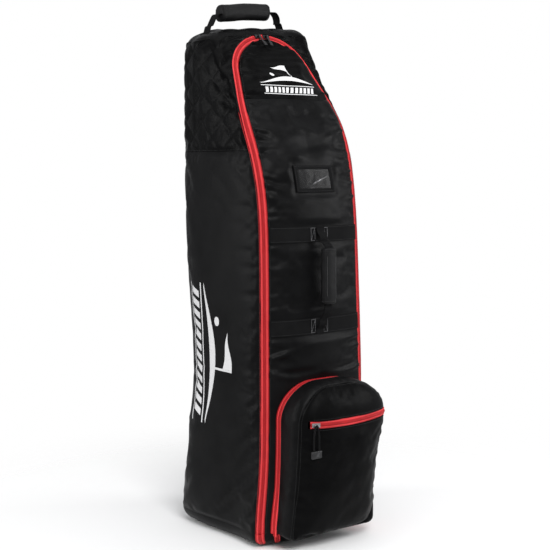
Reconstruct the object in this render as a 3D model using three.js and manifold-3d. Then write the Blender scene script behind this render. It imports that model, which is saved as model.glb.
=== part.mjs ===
// A wheeled golf travel case. A tall padded bag whose whole front zips off, with a quilted hood round the
// club heads, a zipped shoe pocket low on the front, a carry handle on the front and one on top, and two
// skate wheels set into the rear of its base.
// Millimetres, +Z up, the front faces -Y. The origin is on the floor, under the middle of the whole case.
import * as THREE from "three";
import { mergeVertices } from "three/addons/utils/BufferGeometryUtils.js";
import Module from "manifold-3d";

const wasm = await Module();
wasm.setup();

// ---------------------------------------------------------------- driving dimensions
const GAP = 0.3; // between pieces that touch
const WALL = 5; // padded fabric

const HEIGHT = 1270; // floor to crown, without the handle
const HALF_WIDTH = 160;
const SIDE_PUFF = 6; // how far the sides and the back swell outwards
const BACK_PUFF = 4;
const BACK_Y = 178;
const BACK_CORNER = 50;
const BASE_ROUND = 34;
const CROWN_ROUND = 28;

const FRONT_Y = -162; // along the straight legs of the main zip
const FRONT_PUFF = 28; // the front swells this far past its zip
const HOOD_PUFF = 18; // and this far up in the hood
const FRONT_CORNER = 24;
const LEG_ROLL = THREE.MathUtils.degToRad(30); // the straight legs face this far out to the side
const LEAN = 0.575; // the hood's front leans back by this much per unit of height
const LEAN_START = 905;
const LEAN_BLEND = 60;
const LEAN_ANGLE = Math.atan(LEAN);

const TRAY_TOP = 36; // the base tray's rim, where the front folds down
const HOOD_BOTTOM = 955;
const CROWN_BOTTOM = 1250;
const FRONT_SEAM = 1085; // between the front's upper and lower panels
const BACK_SEAM_X = 108;
const BACK_SEAM_Y = 100;

const ZIP_X = 148;
const ZIP_APEX = 1245;
const ARCH_RADIUS = 122; // of the zip's round top, in the leaning plane
const ARCH_SLANT = THREE.MathUtils.degToRad(12); // the legs under the arch spread by this much
const ZIP_BEND = [994, 1044, 1094]; // start, corner and end of the bend from leg to slant
const TAPE = 10.1;
const CHANNEL = 11; // the fabric stops this far from the zip's line
const COIL = 2.6;
const COIL_HALF_GAP = 0.3;

const FRONT_HANDLE_Z = 644.5;

const POCKET_HALF = 125;
const POCKET_BOTTOM = 42;
const POCKET_TOP = 405;
const POCKET_TOP_CORNER = 95;
const POCKET_BASE_CORNER = 28;
const POCKET_WALL = 3;
const POCKET_RIM = 246; // how far forward the face is sewn to the gusset, at the bottom
const POCKET_RIM_SLOPE = 0.066;
const POCKET_PUFF = 46;
const POCKET_ZIP_OUT = 14; // the pocket's zip stands this far off the front panel
const POCKET_TAPE = 8;

const FACE_ZIP_Z = 315;
const FACE_ZIP_RADIUS = 240;
const FACE_ZIP_FRONT = -306; // the face zip's furthest point forward
const FACE_ZIP_LEFT = -106;
const FACE_ZIP_RIGHT = 104;
const FACE_TAPE = 8;

const WHEEL_RADIUS = 34;
const WHEEL_WIDTH = 24;
const WHEEL_X = 103;
const WHEEL_Y = 161;
const WHEEL_Z = 38;
const WELL_HALF = 17.5;
const WELL_WALL = 3;
const AXLE_RADIUS = 4;

// ---------------------------------------------------------------- materials
function fabric(color, roughness = 0.75) {
  return new THREE.MeshStandardMaterial({ color, roughness, metalness: 0 });
}

const BLACK_FABRIC = fabric(0x1b1b1c);
const QUILTED = fabric(0x19191a, 0.55);
const WEBBING = fabric(0x141415, 0.85);
const RED_TAPE = fabric(0xc4202a, 0.6);
const LINING = fabric(0x2c2c2e, 0.9);
const FOAM = fabric(0x3a3a3c, 0.95);
const PLASTIC = fabric(0x161617, 0.45);
const URETHANE = fabric(0x232325, 0.5);
const METAL = new THREE.MeshStandardMaterial({ color: 0x9a9a9c, roughness: 0.3, metalness: 1 });
const CLEAR = fabric(0xdfe3e6, 0.15);
CLEAR.transparent = true;
CLEAR.opacity = 0.4;
const CARD = fabric(0x2a2a2c, 0.6);

// ---------------------------------------------------------------- solids
const X = new THREE.Vector3(1, 0, 0);
const Y = new THREE.Vector3(0, 1, 0);
const Z = new THREE.Vector3(0, 0, 1);
const { smoothstep, lerp, clamp } = THREE.MathUtils;
const degrees = THREE.MathUtils.degToRad;

function solid(geometry) {
  const bare = geometry.clone();
  for (const name of Object.keys(bare.attributes)) if (name !== "position") bare.deleteAttribute(name);
  const merged = mergeVertices(bare, 1e-4);
  const mesh = { numProp: 3, vertProperties: merged.attributes.position.array };
  return new wasm.Manifold(new wasm.Mesh({ ...mesh, triVerts: new Uint32Array(merged.index.array) }));
}

function shape(manifold) {
  const { vertProperties, triVerts } = manifold.getMesh();
  const geometry = new THREE.BufferGeometry();
  geometry.setAttribute("position", new THREE.BufferAttribute(vertProperties, 3));
  geometry.setIndex(new THREE.BufferAttribute(triVerts, 1));
  return geometry;
}

function block([x0, x1], [y0, y1], [z0, z1]) {
  const box = new THREE.BoxGeometry(x1 - x0, y1 - y0, z1 - z0);
  return solid(box.translate((x0 + x1) / 2, (y0 + y1) / 2, (z0 + z1) / 2));
}

const FAR = 2000;
const joined = (...solids) => solids.reduce((a, b) => a.add(b));

// A cylinder along X with its ends at x0 and x1.
function rod(radius, [x0, x1], y, z, sides = 20) {
  const cylinder = new THREE.CylinderGeometry(radius, radius, x1 - x0, sides).rotateZ(Math.PI / 2);
  return solid(cylinder.translate((x0 + x1) / 2, y, z));
}

// Rings of equally many points, each anticlockwise round the way they run, skinned and capped.
function skin(rings, capTriangles) {
  const around = rings[0].length;
  const positions = rings.flat().flatMap((p) => p.toArray());
  const index = [];
  for (let i = 0; i < rings.length - 1; i++) {
    for (let j = 0; j < around; j++) {
      const a = i * around + j;
      const b = i * around + ((j + 1) % around);
      index.push(a, b, b + around, a, b + around, a + around);
    }
  }
  const last = (rings.length - 1) * around;
  for (const [a, b, c] of capTriangles) {
    index.push(c, b, a, last + a, last + b, last + c);
  }
  const geometry = new THREE.BufferGeometry();
  geometry.setAttribute("position", new THREE.Float32BufferAttribute(positions, 3));
  return geometry.setIndex(index);
}

// A closed ring of [radius, height] points turned about the axis.
function ring(points, sides) {
  return new THREE.LatheGeometry([...points, points[0]].map((p) => new THREE.Vector2(...p)), sides);
}

// A flat profile of [across, out] points, anticlockwise, carried along frames of {at, across, out}.
function sweep(profile, frames) {
  const caps = THREE.ShapeUtils.triangulateShape(profile.map(([b, n]) => new THREE.Vector2(b, n)), []);
  const section = ({ at, across, out }) =>
    profile.map(([b, n]) => at.clone().addScaledVector(across, b).addScaledVector(out, n));
  return skin(frames.map(section), caps);
}

const mirrored = (profile) => profile.map(([b, n]) => [-b, n]).reverse();
const strip = ([b0, b1], [n0, n1]) => [[b0, n0], [b1, n0], [b1, n1], [b0, n1]];

// Frames along points, with out given at each point and squared up to the path.
function framesAlong(points, outAt) {
  return points.map((at, i) => {
    const before = points[Math.max(0, i - 1)];
    const after = points[Math.min(points.length - 1, i + 1)];
    const along = after.clone().sub(before).normalize();
    const out = outAt(at, i).clone().projectOnPlane(along).normalize();
    return { at, along, out, across: out.clone().cross(along) };
  });
}

const spread = (from, to, steps) => Array.from({ length: steps + 1 }, (_, i) => lerp(from, to, i / steps));

// ---------------------------------------------------------------- the main zip's line and the bag
const leaning = (z) => Math.exp((z - LEAN_START) / LEAN_BLEND);
const zipPlaneY = (z) => FRONT_Y + LEAN * LEAN_BLEND * Math.log(1 + leaning(z));
const zipPlaneSlope = (z) => LEAN / (1 + 1 / leaning(z));

const ARCH_RISE = ARCH_RADIUS * Math.cos(LEAN_ANGLE);
const ARCH_CENTRE = ZIP_APEX - ARCH_RISE;
const archPoint = (angle) => [ARCH_RADIUS * Math.cos(angle), ARCH_CENTRE + ARCH_RISE * Math.sin(angle)];

// The right half of the main zip as [x, z], from the base up to the apex.
const zipHalf = (() => {
  const [bendStart, bendCorner, bendEnd] = ZIP_BEND;
  const [slantX, slantZ] = archPoint(ARCH_SLANT);
  const slope = (ZIP_X - slantX) / (slantZ - bendCorner);
  const bendX = ZIP_X - slope * (bendEnd - bendCorner);
  const corners = [
    new THREE.Vector2(ZIP_X, bendStart), new THREE.Vector2(ZIP_X, bendCorner), new THREE.Vector2(bendX, bendEnd),
  ];
  const bend = new THREE.QuadraticBezierCurve(...corners).getPoints(6).map((p) => p.toArray());
  const slant = [0.2, 0.4, 0.6, 0.8].map((t) => [lerp(bendX, slantX, t), lerp(bendEnd, slantZ, t)]);
  const legs = [TRAY_TOP + 4, 200, 400, 600, 740, 820, 870, 920, 960].map((z) => [ZIP_X, z]);
  const arch = spread(ARCH_SLANT, Math.PI / 2, 12).map(archPoint);
  return [...legs, ...bend, ...slant, ...arch];
})();

function zipHalfWidth(z) {
  if (z <= zipHalf[0][1]) return ZIP_X;
  const above = zipHalf.findIndex(([, height]) => height > z);
  if (above < 0) return 0;
  const [x0, z0] = zipHalf[above - 1];
  const [x1, z1] = zipHalf[above];
  return lerp(x0, x1, (z - z0) / (z1 - z0));
}

// 0 at the middle of the front, 1 on the zip.
function towardsZip(x, z) {
  if (z <= ARCH_CENTRE) return Math.abs(x) / zipHalfWidth(z);
  return Math.hypot(x, (z - ARCH_CENTRE) / Math.cos(LEAN_ANGLE)) / ARCH_RADIUS;
}

const CORNER_X = ZIP_X - FRONT_CORNER * Math.sin(LEG_ROLL);
const CORNER_Y = FRONT_CORNER * Math.cos(LEG_ROLL);

function frontY(x, z) {
  const plane = zipPlaneY(z);
  const near = towardsZip(x, z);
  if (near < 1) return plane - lerp(FRONT_PUFF, HOOD_PUFF, smoothstep(z, 950, 1150)) * (1 - near ** 3);
  const past = clamp(Math.abs(x) - CORNER_X, 0, FRONT_CORNER);
  const corner = CORNER_Y - Math.sqrt(FRONT_CORNER ** 2 - past ** 2);
  return plane + corner * clamp((Math.abs(x) - zipHalfWidth(z)) / 15, 0, 1);
}

function frontNormal(x, z, step = 0.5) {
  const dx = (frontY(x + step, z) - frontY(x - step, z)) / (2 * step);
  const dz = (frontY(x, z + step) - frontY(x, z - step)) / (2 * step);
  return new THREE.Vector3(dx, -1, dz).normalize();
}

// The bag's outline at one height, anticlockwise from above, drawn in by inset.
function bodyRing(z, inset) {
  const plane = zipPlaneY(z);
  const half = [];
  for (const x of [0, 32, 64, 92, 114, 130, 141, ZIP_X]) half.push([x, frontY(x, z)]);
  for (const angle of [50, 70, 90].map(degrees)) {
    const forward = FRONT_CORNER * Math.cos(angle);
    half.push([CORNER_X + FRONT_CORNER * Math.sin(angle), plane + CORNER_Y - forward]);
  }
  const [sideX, sideY] = half.at(-1);
  const backStart = BACK_Y - BACK_CORNER;
  for (const t of [0.25, 0.5, 0.75]) {
    half.push([sideX + SIDE_PUFF * Math.sin(Math.PI * t), lerp(sideY, backStart, t)]);
  }
  for (const angle of [0, 30, 60, 90].map(degrees)) {
    const cornerX = sideX - BACK_CORNER + BACK_CORNER * Math.cos(angle);
    half.push([cornerX, backStart + BACK_CORNER * Math.sin(angle)]);
  }
  half.push([60, BACK_Y + BACK_PUFF * 0.7], [0, BACK_Y + BACK_PUFF]);
  const left = half.slice(1, -1).map(([x, y]) => [-x, y]).reverse();
  const middle = (plane + BACK_Y) / 2;
  const inX = 1 - inset / HALF_WIDTH;
  const inY = 1 - inset / (BACK_Y - middle);
  return [...half, ...left].map(([x, y]) => new THREE.Vector3(x * inX, middle + (y - middle) * inY, z));
}

// The whole bag as one closed body, its walls drawn in by inset.
function body(inset) {
  const up = (z) => inset + (z * (HEIGHT - 2 * inset)) / HEIGHT;
  const quarter = [0, 30, 60, 90].map(degrees);
  const rounded = (radius) => quarter.map((a) => [radius * (1 - Math.cos(a)), radius * (1 - Math.sin(a))]);
  const base = rounded(BASE_ROUND);
  const crown = rounded(CROWN_ROUND).map(([z, edge]) => [HEIGHT - z, edge]);
  const straight = [100, 250, 450, 620, 740, 820, 870, 910, 950, 990, 1030, 1080, 1130, 1175, 1212];
  const levels = [...base, ...straight.map((z) => [z, 0]), ...crown.reverse()];
  const rings = levels.map(([z, edge]) => bodyRing(up(z), inset + edge));
  const around = rings[0].length;
  const fan = Array.from({ length: around - 2 }, (_, j) => [0, j + 1, j + 2]);
  return solid(skin(rings, fan));
}

// A sheet that lies on the front between two heights and two sides, from n0 to n1 off its surface.
function frontPatch([x0, x1], [z0, z1], [n0, n1], columns = 8, rows = 2) {
  const rings = spread(x0, x1, columns).map((x) => {
    const at = (z, n) => new THREE.Vector3(x, frontY(x, z), z).addScaledVector(frontNormal(x, z), n);
    const heights = spread(z0, z1, rows);
    return [...heights.map((z) => at(z, n0)).reverse(), ...heights.map((z) => at(z, n1))].reverse();
  });
  const caps = THREE.ShapeUtils.triangulateShape(rings[0].map((p) => new THREE.Vector2(p.y, p.z)), []);
  return skin(rings, caps);
}

// ---------------------------------------------------------------- the shell and the zip-off front
const zipPoints = (() => {
  const half = zipHalf.map(([x, z]) => new THREE.Vector3(x, zipPlaneY(z), z));
  const left = half.slice(0, -1).map((p) => new THREE.Vector3(-p.x, p.y, p.z));
  return [...left, ...half.reverse()];
})();

function zipOut(p) {
  const facing = new THREE.Vector3(0, -1, zipPlaneSlope(p.z)).normalize();
  const roll = LEG_ROLL * (1 - smoothstep(p.z, 1000, 1150));
  return facing.multiplyScalar(Math.cos(roll)).addScaledVector(X, Math.sign(p.x) * Math.sin(roll));
}

const zipFrames = framesAlong(zipPoints, zipOut);
const tapeProfile = (tape) => [
  [COIL_HALF_GAP, -2], [tape, -2], [tape, -1], [COIL, -1], [COIL, 1], [COIL_HALF_GAP, 1],
];

const zipChannel = (() => {
  const longer = zipFrames.map((frame) => ({ ...frame, at: frame.at.clone() }));
  for (const end of [longer[0], longer.at(-1)]) end.at.z = TRAY_TOP - 10;
  return solid(sweep(strip([-CHANNEL, CHANNEL], [-16, 16]), longer));
})();

const frontDoorway = (() => {
  const half = zipHalf.map(([x, z]) => new THREE.Vector2(x, z));
  const left = half.slice(0, -1).map((p) => new THREE.Vector2(-p.x, p.y)).reverse();
  const outline = new THREE.Shape([...half, ...left]);
  const prism = new THREE.ExtrudeGeometry(outline, { depth: 400, bevelEnabled: false });
  return solid(prism.rotateX(Math.PI / 2).translate(0, BACK_SEAM_Y, 0));
})();

const wholeBag = body(0);
const walls = wholeBag.subtract(body(WALL));
const underDoor = block([-ZIP_X, ZIP_X], [-FAR, BACK_SEAM_Y], [TRAY_TOP - 5, TRAY_TOP + 4.01]);
const doorway = frontDoorway.add(underDoor);
const front = walls.intersect(doorway).subtract(zipChannel);
const shell = walls.subtract(doorway).subtract(zipChannel);
const between = (part, x, y, z) => part.intersect(block(x, y, z));

const HOUSING_X = 126;
const HOUSING_Y = 120;
const HOUSING_TOP = 96;
const across = (half) => [-half, half];
const housingRoom = block(across(HOUSING_X + GAP), [HOUSING_Y - GAP, FAR], [-FAR, HOUSING_TOP + GAP]);

const backWall = block(across(BACK_SEAM_X), [BACK_SEAM_Y, FAR], [TRAY_TOP, CROWN_BOTTOM]);
const backWallRoom = block(across(BACK_SEAM_X + GAP), [BACK_SEAM_Y - GAP, FAR], [TRAY_TOP, CROWN_BOTTOM]);

function sidePanel(side, z0, z1) {
  const x = side < 0 ? [-FAR, -GAP] : [GAP, FAR];
  return between(shell, x, [-FAR, FAR], [z0, z1]).subtract(backWallRoom).subtract(housingRoom);
}

// ---------------------------------------------------------------- the shoe pocket
function pocketOutline(inset) {
  const half = POCKET_HALF - inset;
  const [low, high] = [POCKET_BOTTOM + inset, POCKET_TOP - inset];
  const [top, base] = [POCKET_TOP_CORNER - inset, POCKET_BASE_CORNER - inset];
  const outline = new THREE.Shape();
  outline.moveTo(-half + base, low).lineTo(half - base, low);
  outline.absarc(half - base, low + base, base, -Math.PI / 2, 0);
  outline.lineTo(half, high - top).absarc(half - top, high - top, top, 0, Math.PI / 2);
  outline.lineTo(-half + top, high).absarc(-half + top, high - top, top, Math.PI / 2, Math.PI);
  return outline.lineTo(-half, low + base).absarc(-half + base, low + base, base, Math.PI, Math.PI * 1.5);
}

const pocketRim = (z) => POCKET_RIM + POCKET_RIM_SLOPE * (z - POCKET_BOTTOM);

function pocketFaceY(x, z) {
  const middle = (POCKET_BOTTOM + POCKET_TOP) / 2;
  const across = Math.abs(x) / POCKET_HALF;
  const up = Math.abs(z - middle) / (POCKET_TOP - middle);
  const near = Math.min(1, (across ** 4 + up ** 4) ** 0.25);
  return -pocketRim(z) - POCKET_PUFF * (1 - near ** 3);
}

// Everything the pocket holds, with its walls drawn in by inset.
function pocketBlock(inset) {
  const depth = { depth: 300, bevelEnabled: false, curveSegments: 7 };
  const prism = new THREE.ExtrudeGeometry(pocketOutline(inset), depth);
  const columns = spread(-POCKET_HALF - 5, POCKET_HALF + 5, 14).map((x) => {
    const heights = spread(POCKET_BOTTOM - 5, POCKET_TOP + 5, 14);
    const faceLine = heights.map((z) => new THREE.Vector3(x, pocketFaceY(x, z) + inset, z));
    const backLine = [POCKET_TOP + 5, POCKET_BOTTOM - 5].map((z) => new THREE.Vector3(x, -120, z));
    return [...faceLine, ...backLine].reverse();
  });
  const caps = THREE.ShapeUtils.triangulateShape(columns[0].map((p) => new THREE.Vector2(p.y, p.z)), []);
  const swollen = solid(skin(columns, caps));
  return solid(prism.rotateX(Math.PI / 2).translate(0, -100, 0)).intersect(swollen);
}

// The pocket's zip, from the lower left, over the top, to the lower right.
const pocketZipFrames = (() => {
  const high = POCKET_TOP - POCKET_TOP_CORNER;
  const corner = spread(0, Math.PI / 2, 6).map((a) => [
    POCKET_HALF - POCKET_TOP_CORNER * (1 - Math.cos(a)), high + POCKET_TOP_CORNER * Math.sin(a), a,
  ]);
  const leg = [POCKET_BOTTOM + POCKET_BASE_CORNER + 2, 180].map((z) => [POCKET_HALF, z, 0]);
  const half = [...leg, ...corner, [0, POCKET_TOP, Math.PI / 2]];
  const left = half.slice(0, -1).map(([x, z, a]) => [-x, z, Math.PI - a]);
  const points = [...left, ...half.reverse()];
  const at = ([x, z]) => new THREE.Vector3(x, frontY(x, z) - POCKET_ZIP_OUT, z);
  const facing = ([, , angle]) => new THREE.Vector3(Math.cos(angle), 0, Math.sin(angle));
  return framesAlong(points.map(at), (p, i) => facing(points[i]));
})();

const pocketZipRoom = solid(sweep(strip([-POCKET_TAPE - GAP, 40], [-9, 9]), pocketZipFrames));
const pocketSkin = pocketBlock(0).subtract(pocketBlock(POCKET_WALL));
const pocketWalls = pocketSkin.subtract(body(-0.6)).subtract(pocketZipRoom);

// The face zip runs on an arc about an upright axis, so that its slider swings round that axis.
const FACE_ZIP_CENTRE = FACE_ZIP_FRONT + FACE_ZIP_RADIUS;
const faceZipAngle = (x) => Math.asin(x / FACE_ZIP_RADIUS);

function faceZipFrames(x0, x1, steps) {
  const points = spread(faceZipAngle(x0), faceZipAngle(x1), steps).map((a) => {
    const y = FACE_ZIP_CENTRE - FACE_ZIP_RADIUS * Math.cos(a);
    return new THREE.Vector3(FACE_ZIP_RADIUS * Math.sin(a), y, FACE_ZIP_Z);
  });
  return framesAlong(points, (p) => new THREE.Vector3(p.x, p.y - FACE_ZIP_CENTRE, 0).normalize());
}

const faceZipRoom = (() => {
  const slot = strip([-FACE_TAPE - GAP, FACE_TAPE + GAP], [-26, 26]);
  return solid(sweep(slot, faceZipFrames(FACE_ZIP_LEFT - 4, POCKET_HALF + 20, 10)));
})();

const rimWedge = (() => {
  const low = POCKET_BOTTOM - 20;
  const high = POCKET_TOP + 20;
  const side = new THREE.Shape([
    new THREE.Vector2(-pocketRim(low) + 4, low), new THREE.Vector2(-pocketRim(high) + 4, high),
    new THREE.Vector2(0, high), new THREE.Vector2(0, low),
  ]);
  // The side view is drawn in Y and Z and extruded along X.
  const wedge = new THREE.ExtrudeGeometry(side, { depth: 400, bevelEnabled: false });
  return solid(wedge.applyMatrix4(new THREE.Matrix4().makeBasis(Y, Z, X)).translate(-200, 0, 0));
})();

const pocketFace = pocketWalls.subtract(rimWedge.translate(0, -GAP, 0)).subtract(faceZipRoom);

// ---------------------------------------------------------------- zip sliders and pulls
// Sliders are drawn with X along the zip, Y across it and Z out of it, on the zip's centre line.
const BAR_HEIGHT = 6.4;
const BAR_RADIUS = 0.8;

// The bar the pull hangs from runs along the zip, or across it. A slider whose zip parts in its own plane
// has a flange on one side only.
function sliderShape(barAcross = false, bothFlanges = true) {
  const plate = block([-10, 10], [-5, 5], [1.5, 2.8]);
  const edges = bothFlanges ? [-5, 4.2] : [-5];
  const flanges = edges.map((y) => block([-10, 10], [y, y + 0.8], [-0.6, 1.6]));
  const posts = [-4.6, 3].map((x) => block([x, x + 1.6], [-0.8, 0.8], [2.7, BAR_HEIGHT + 1]));
  const bar = rod(BAR_RADIUS, [-4, 4], 0, BAR_HEIGHT, 12);
  const bail = joined(...posts, bar).rotate([0, 0, barAcross ? 90 : 0]);
  return shape(joined(plate, ...flanges, bail));
}

// A pull with its eye round the bar, drawn with the bar along X through the origin. It reaches along -Y.
function pullShape(length, gripLength, gripWidth) {
  const eye = rod(2.9, [-2.5, 2.5], 0, 0, 16);
  const tab = block([-2.5, 2.5], [-length, 0], [-0.8, 0.8]);
  const half = gripWidth / 2;
  const grip = block([-half, half], [-length, gripLength - length], [-1.6, 1.6]);
  return shape(joined(eye, tab, grip).subtract(rod(BAR_RADIUS + GAP, [-3, 3], 0, 0, 12)));
}

// ---------------------------------------------------------------- handles
// A carry handle: webbing that rises from its two ends to a straight run, and a grip round that run.
function handleStrap(points, widthAlong, width, thickness) {
  const frames = framesAlong(points, () => widthAlong);
  const turned = frames.map(({ at, along, out }) => ({ at, across: out, out: along.clone().cross(out) }));
  return sweep(strip([-width / 2, width / 2], [-thickness / 2, thickness / 2]), turned);
}

function gripTube(length, tall, deep, slotTall, slotDeep) {
  const outline = new THREE.Shape().absellipse(0, 0, deep / 2, tall / 2, 0, Math.PI * 2);
  const tube = new THREE.ExtrudeGeometry(outline, { depth: length, bevelEnabled: false, curveSegments: 8 });
  const slot = block([-slotDeep / 2, slotDeep / 2], [-slotTall / 2, slotTall / 2], [-1, length + 1]);
  return shape(solid(tube).subtract(slot)).translate(0, 0, -length / 2);
}

// ---------------------------------------------------------------- assembly
const root = new THREE.Group();

function add(parent, name, geometry, material) {
  const mesh = new THREE.Mesh(geometry.isBufferGeometry ? geometry : shape(geometry), material);
  mesh.name = name;
  parent.add(mesh);
  return mesh;
}

// A slider's frame also carries the bar's, which the pull swings about; turn sets where the pull rests.
function addSlider(name, frame, pull, { barAcross = false, bothFlanges = true, turn }) {
  const slider = placed(root, frame);
  add(slider, `${name}_slider`, sliderShape(barAcross, bothFlanges), METAL);
  const bar = new THREE.Group();
  bar.position.z = BAR_HEIGHT;
  bar.rotation.set(degrees(turn), 0, degrees(barAcross ? 90 : 0), "ZXY");
  slider.add(bar);
  add(bar, `${name}_pull`, pull, PLASTIC);
}

function placed(parent, { at, along, across, out }) {
  const group = new THREE.Group();
  group.position.copy(at);
  group.setRotationFromMatrix(new THREE.Matrix4().makeBasis(along, across, out));
  parent.add(group);
  return group;
}

function addShell() {
  const tray = between(walls, [-FAR, FAR], [-FAR, FAR], [-FAR, TRAY_TOP - GAP]).subtract(housingRoom);
  add(root, "base_tray", tray, BLACK_FABRIC);
  const boardOutline = new THREE.Shape();
  const [halfX, frontEnd, rearEnd, round] = [114, -122, HOUSING_Y - 4, 36];
  boardOutline.moveTo(-halfX + round, frontEnd).lineTo(halfX - round, frontEnd);
  boardOutline.absarc(halfX - round, frontEnd + round, round, -Math.PI / 2, 0);
  boardOutline.lineTo(halfX, rearEnd).lineTo(-halfX, rearEnd).lineTo(-halfX, frontEnd + round);
  boardOutline.absarc(-halfX + round, frontEnd + round, round, Math.PI, Math.PI * 1.5);
  const thickness = { depth: 4, bevelEnabled: false, curveSegments: 5 };
  const board = new THREE.ExtrudeGeometry(boardOutline, thickness);
  add(root, "base_board", board.translate(0, 0, WALL + GAP), PLASTIC);

  const lower = [TRAY_TOP, HOOD_BOTTOM - GAP];
  const aboveHousing = shell.subtract(housingRoom).intersect(backWall);
  add(root, "back_panel", between(aboveHousing, [-FAR, FAR], [-FAR, FAR], lower), BLACK_FABRIC);
  add(root, "left_side_panel", sidePanel(-1, ...lower), BLACK_FABRIC);
  add(root, "right_side_panel", sidePanel(1, ...lower), BLACK_FABRIC);
  const hood = [HOOD_BOTTOM, CROWN_BOTTOM - GAP];
  add(root, "hood_back_panel", between(shell.intersect(backWall), [-FAR, FAR], [-FAR, FAR], hood), QUILTED);
  add(root, "hood_left_panel", sidePanel(-1, ...hood), QUILTED);
  add(root, "hood_right_panel", sidePanel(1, ...hood), QUILTED);
  add(root, "hood_crown_panel", between(shell, [-FAR, FAR], [-FAR, FAR], [CROWN_BOTTOM, FAR]), QUILTED);
  add(root, "hood_foam_pad", block([-100, 100], [88, 142], [1242, HEIGHT - WALL - 1]), FOAM);
}

function addMainZip() {
  const shellSide = tapeProfile(TAPE);
  add(root, "main_zip_shell_tape", sweep(shellSide, zipFrames), RED_TAPE);
  add(root, "main_zip_front_tape", sweep(mirrored(shellSide), zipFrames), RED_TAPE);
  const plane = {
    up: new THREE.Vector3(0, Math.sin(LEAN_ANGLE), Math.cos(LEAN_ANGLE)),
    out: new THREE.Vector3(0, -Math.cos(LEAN_ANGLE), Math.sin(LEAN_ANGLE)),
  };
  const apex = new THREE.Vector3(0, zipPlaneY(ZIP_APEX), ZIP_APEX);
  const centre = apex.addScaledVector(plane.up, -ARCH_RADIUS);
  for (const [name, angle] of [["left", -6], ["right", 6]]) {
    const a = degrees(angle);
    const away = X.clone().multiplyScalar(Math.sin(a)).addScaledVector(plane.up, Math.cos(a));
    const frame = {
      at: centre.clone().addScaledVector(away, ARCH_RADIUS),
      along: X.clone().multiplyScalar(Math.cos(a)).addScaledVector(plane.up, -Math.sin(a)),
      across: away,
      out: plane.out,
    };
    addSlider(`main_zip_${name}`, frame, pullShape(36, 14, 8), { turn: -14 });
  }
}

function addFront() {
  const lower = between(front, [-FAR, FAR], [-FAR, FAR], [TRAY_TOP, FRONT_SEAM - GAP]);
  add(root, "front_lower_panel", lower, BLACK_FABRIC);
  add(root, "front_upper_panel", between(front, [-FAR, FAR], [-FAR, FAR], [FRONT_SEAM, FAR]), BLACK_FABRIC);

  const webbing = [0.5, 2.1];
  add(root, "front_upper_webbing", frontPatch([-130, 130], [737, 775], webbing, 14), WEBBING);
  add(root, "front_lower_webbing", frontPatch([-130, 130], [513, 553], webbing, 14), WEBBING);

  const windowX = [-50, 50];
  const windowZ = [866, 912];
  const frame = solid(frontPatch([-60, 60], [857, 921], [0.5, 3], 8, 4));
  add(root, "id_window_frame", frame.subtract(block(windowX, [-FAR, FAR], windowZ)), WEBBING);
  const inside = ([low, high]) => [low + 1.2, high - 1.2];
  add(root, "id_window_pane", frontPatch(inside(windowX), inside(windowZ), [1.8, 2.4], 6, 3), CLEAR);
  add(root, "id_card", frontPatch(inside(windowX), inside(windowZ), [0.6, 1.2], 6, 3), CARD);
}

// The handle's two ends are sewn to the cross webbings and stand off them. It swings about an upright line.
function addFrontHandle() {
  const [sewnY, pivotY, gripY] = [-194, -206, -224];
  const inSide = (points) => points.map(([y, z]) => new THREE.Vector3(0, y, z));
  const half = [[pivotY, 743], [pivotY, 740], [gripY + 4, 727], [gripY, 719]];
  const other = half.map(([y, z]) => [y, FRONT_HANDLE_Z * 2 - z]).reverse();
  add(root, "front_handle_webbing", handleStrap(inSide([...half, ...other]), X, 25, 2.5), WEBBING);
  const grip = add(root, "front_handle_grip", gripTube(124, 24, 42, 3.4, 26), WEBBING);
  grip.position.set(0, gripY, FRONT_HANDLE_Z);
  const anchor = [[sewnY, 775], [sewnY, 764], [pivotY + 3, 753], [pivotY, 746.5], [pivotY, 743.5]];
  const lowerAnchor = anchor.map(([y, z]) => [y, FRONT_HANDLE_Z * 2 - z]);
  add(root, "front_handle_upper_anchor", handleStrap(inSide(anchor), X, 25, 2.5), WEBBING);
  add(root, "front_handle_lower_anchor", handleStrap(inSide(lowerAnchor), X, 25, 2.5), WEBBING);
}

function addTopHandle() {
  const [handleY, gripZ, pivotZ] = [110, 1315, 1287];
  const inFront = (points, side) => points.map(([x, z]) => new THREE.Vector3(side * x, handleY, z));
  const half = [[111.4, pivotZ], [108.5, pivotZ], [92, gripZ - 4], [86, gripZ]];
  const strap = [...inFront(half, -1), ...inFront(half, 1).reverse()];
  add(root, "top_handle_webbing", handleStrap(strap, Y, 28, 2.5), WEBBING);
  const grip = add(root, "top_handle_grip", gripTube(168, 36, 36, 29, 3.4), WEBBING);
  grip.rotation.y = Math.PI / 2;
  grip.position.set(0, handleY, gripZ);
  const sewnZ = HEIGHT + GAP + 1.25;
  const tab = [[138, sewnZ], [124, sewnZ], [117.5, pivotZ - 3], [114.5, pivotZ], [111.8, pivotZ]];
  for (const [name, side] of [["left", -1], ["right", 1]]) {
    add(root, `top_handle_${name}_anchor`, handleStrap(inFront(tab, side), Y, 28, 2.5), WEBBING);
  }
}

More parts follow.
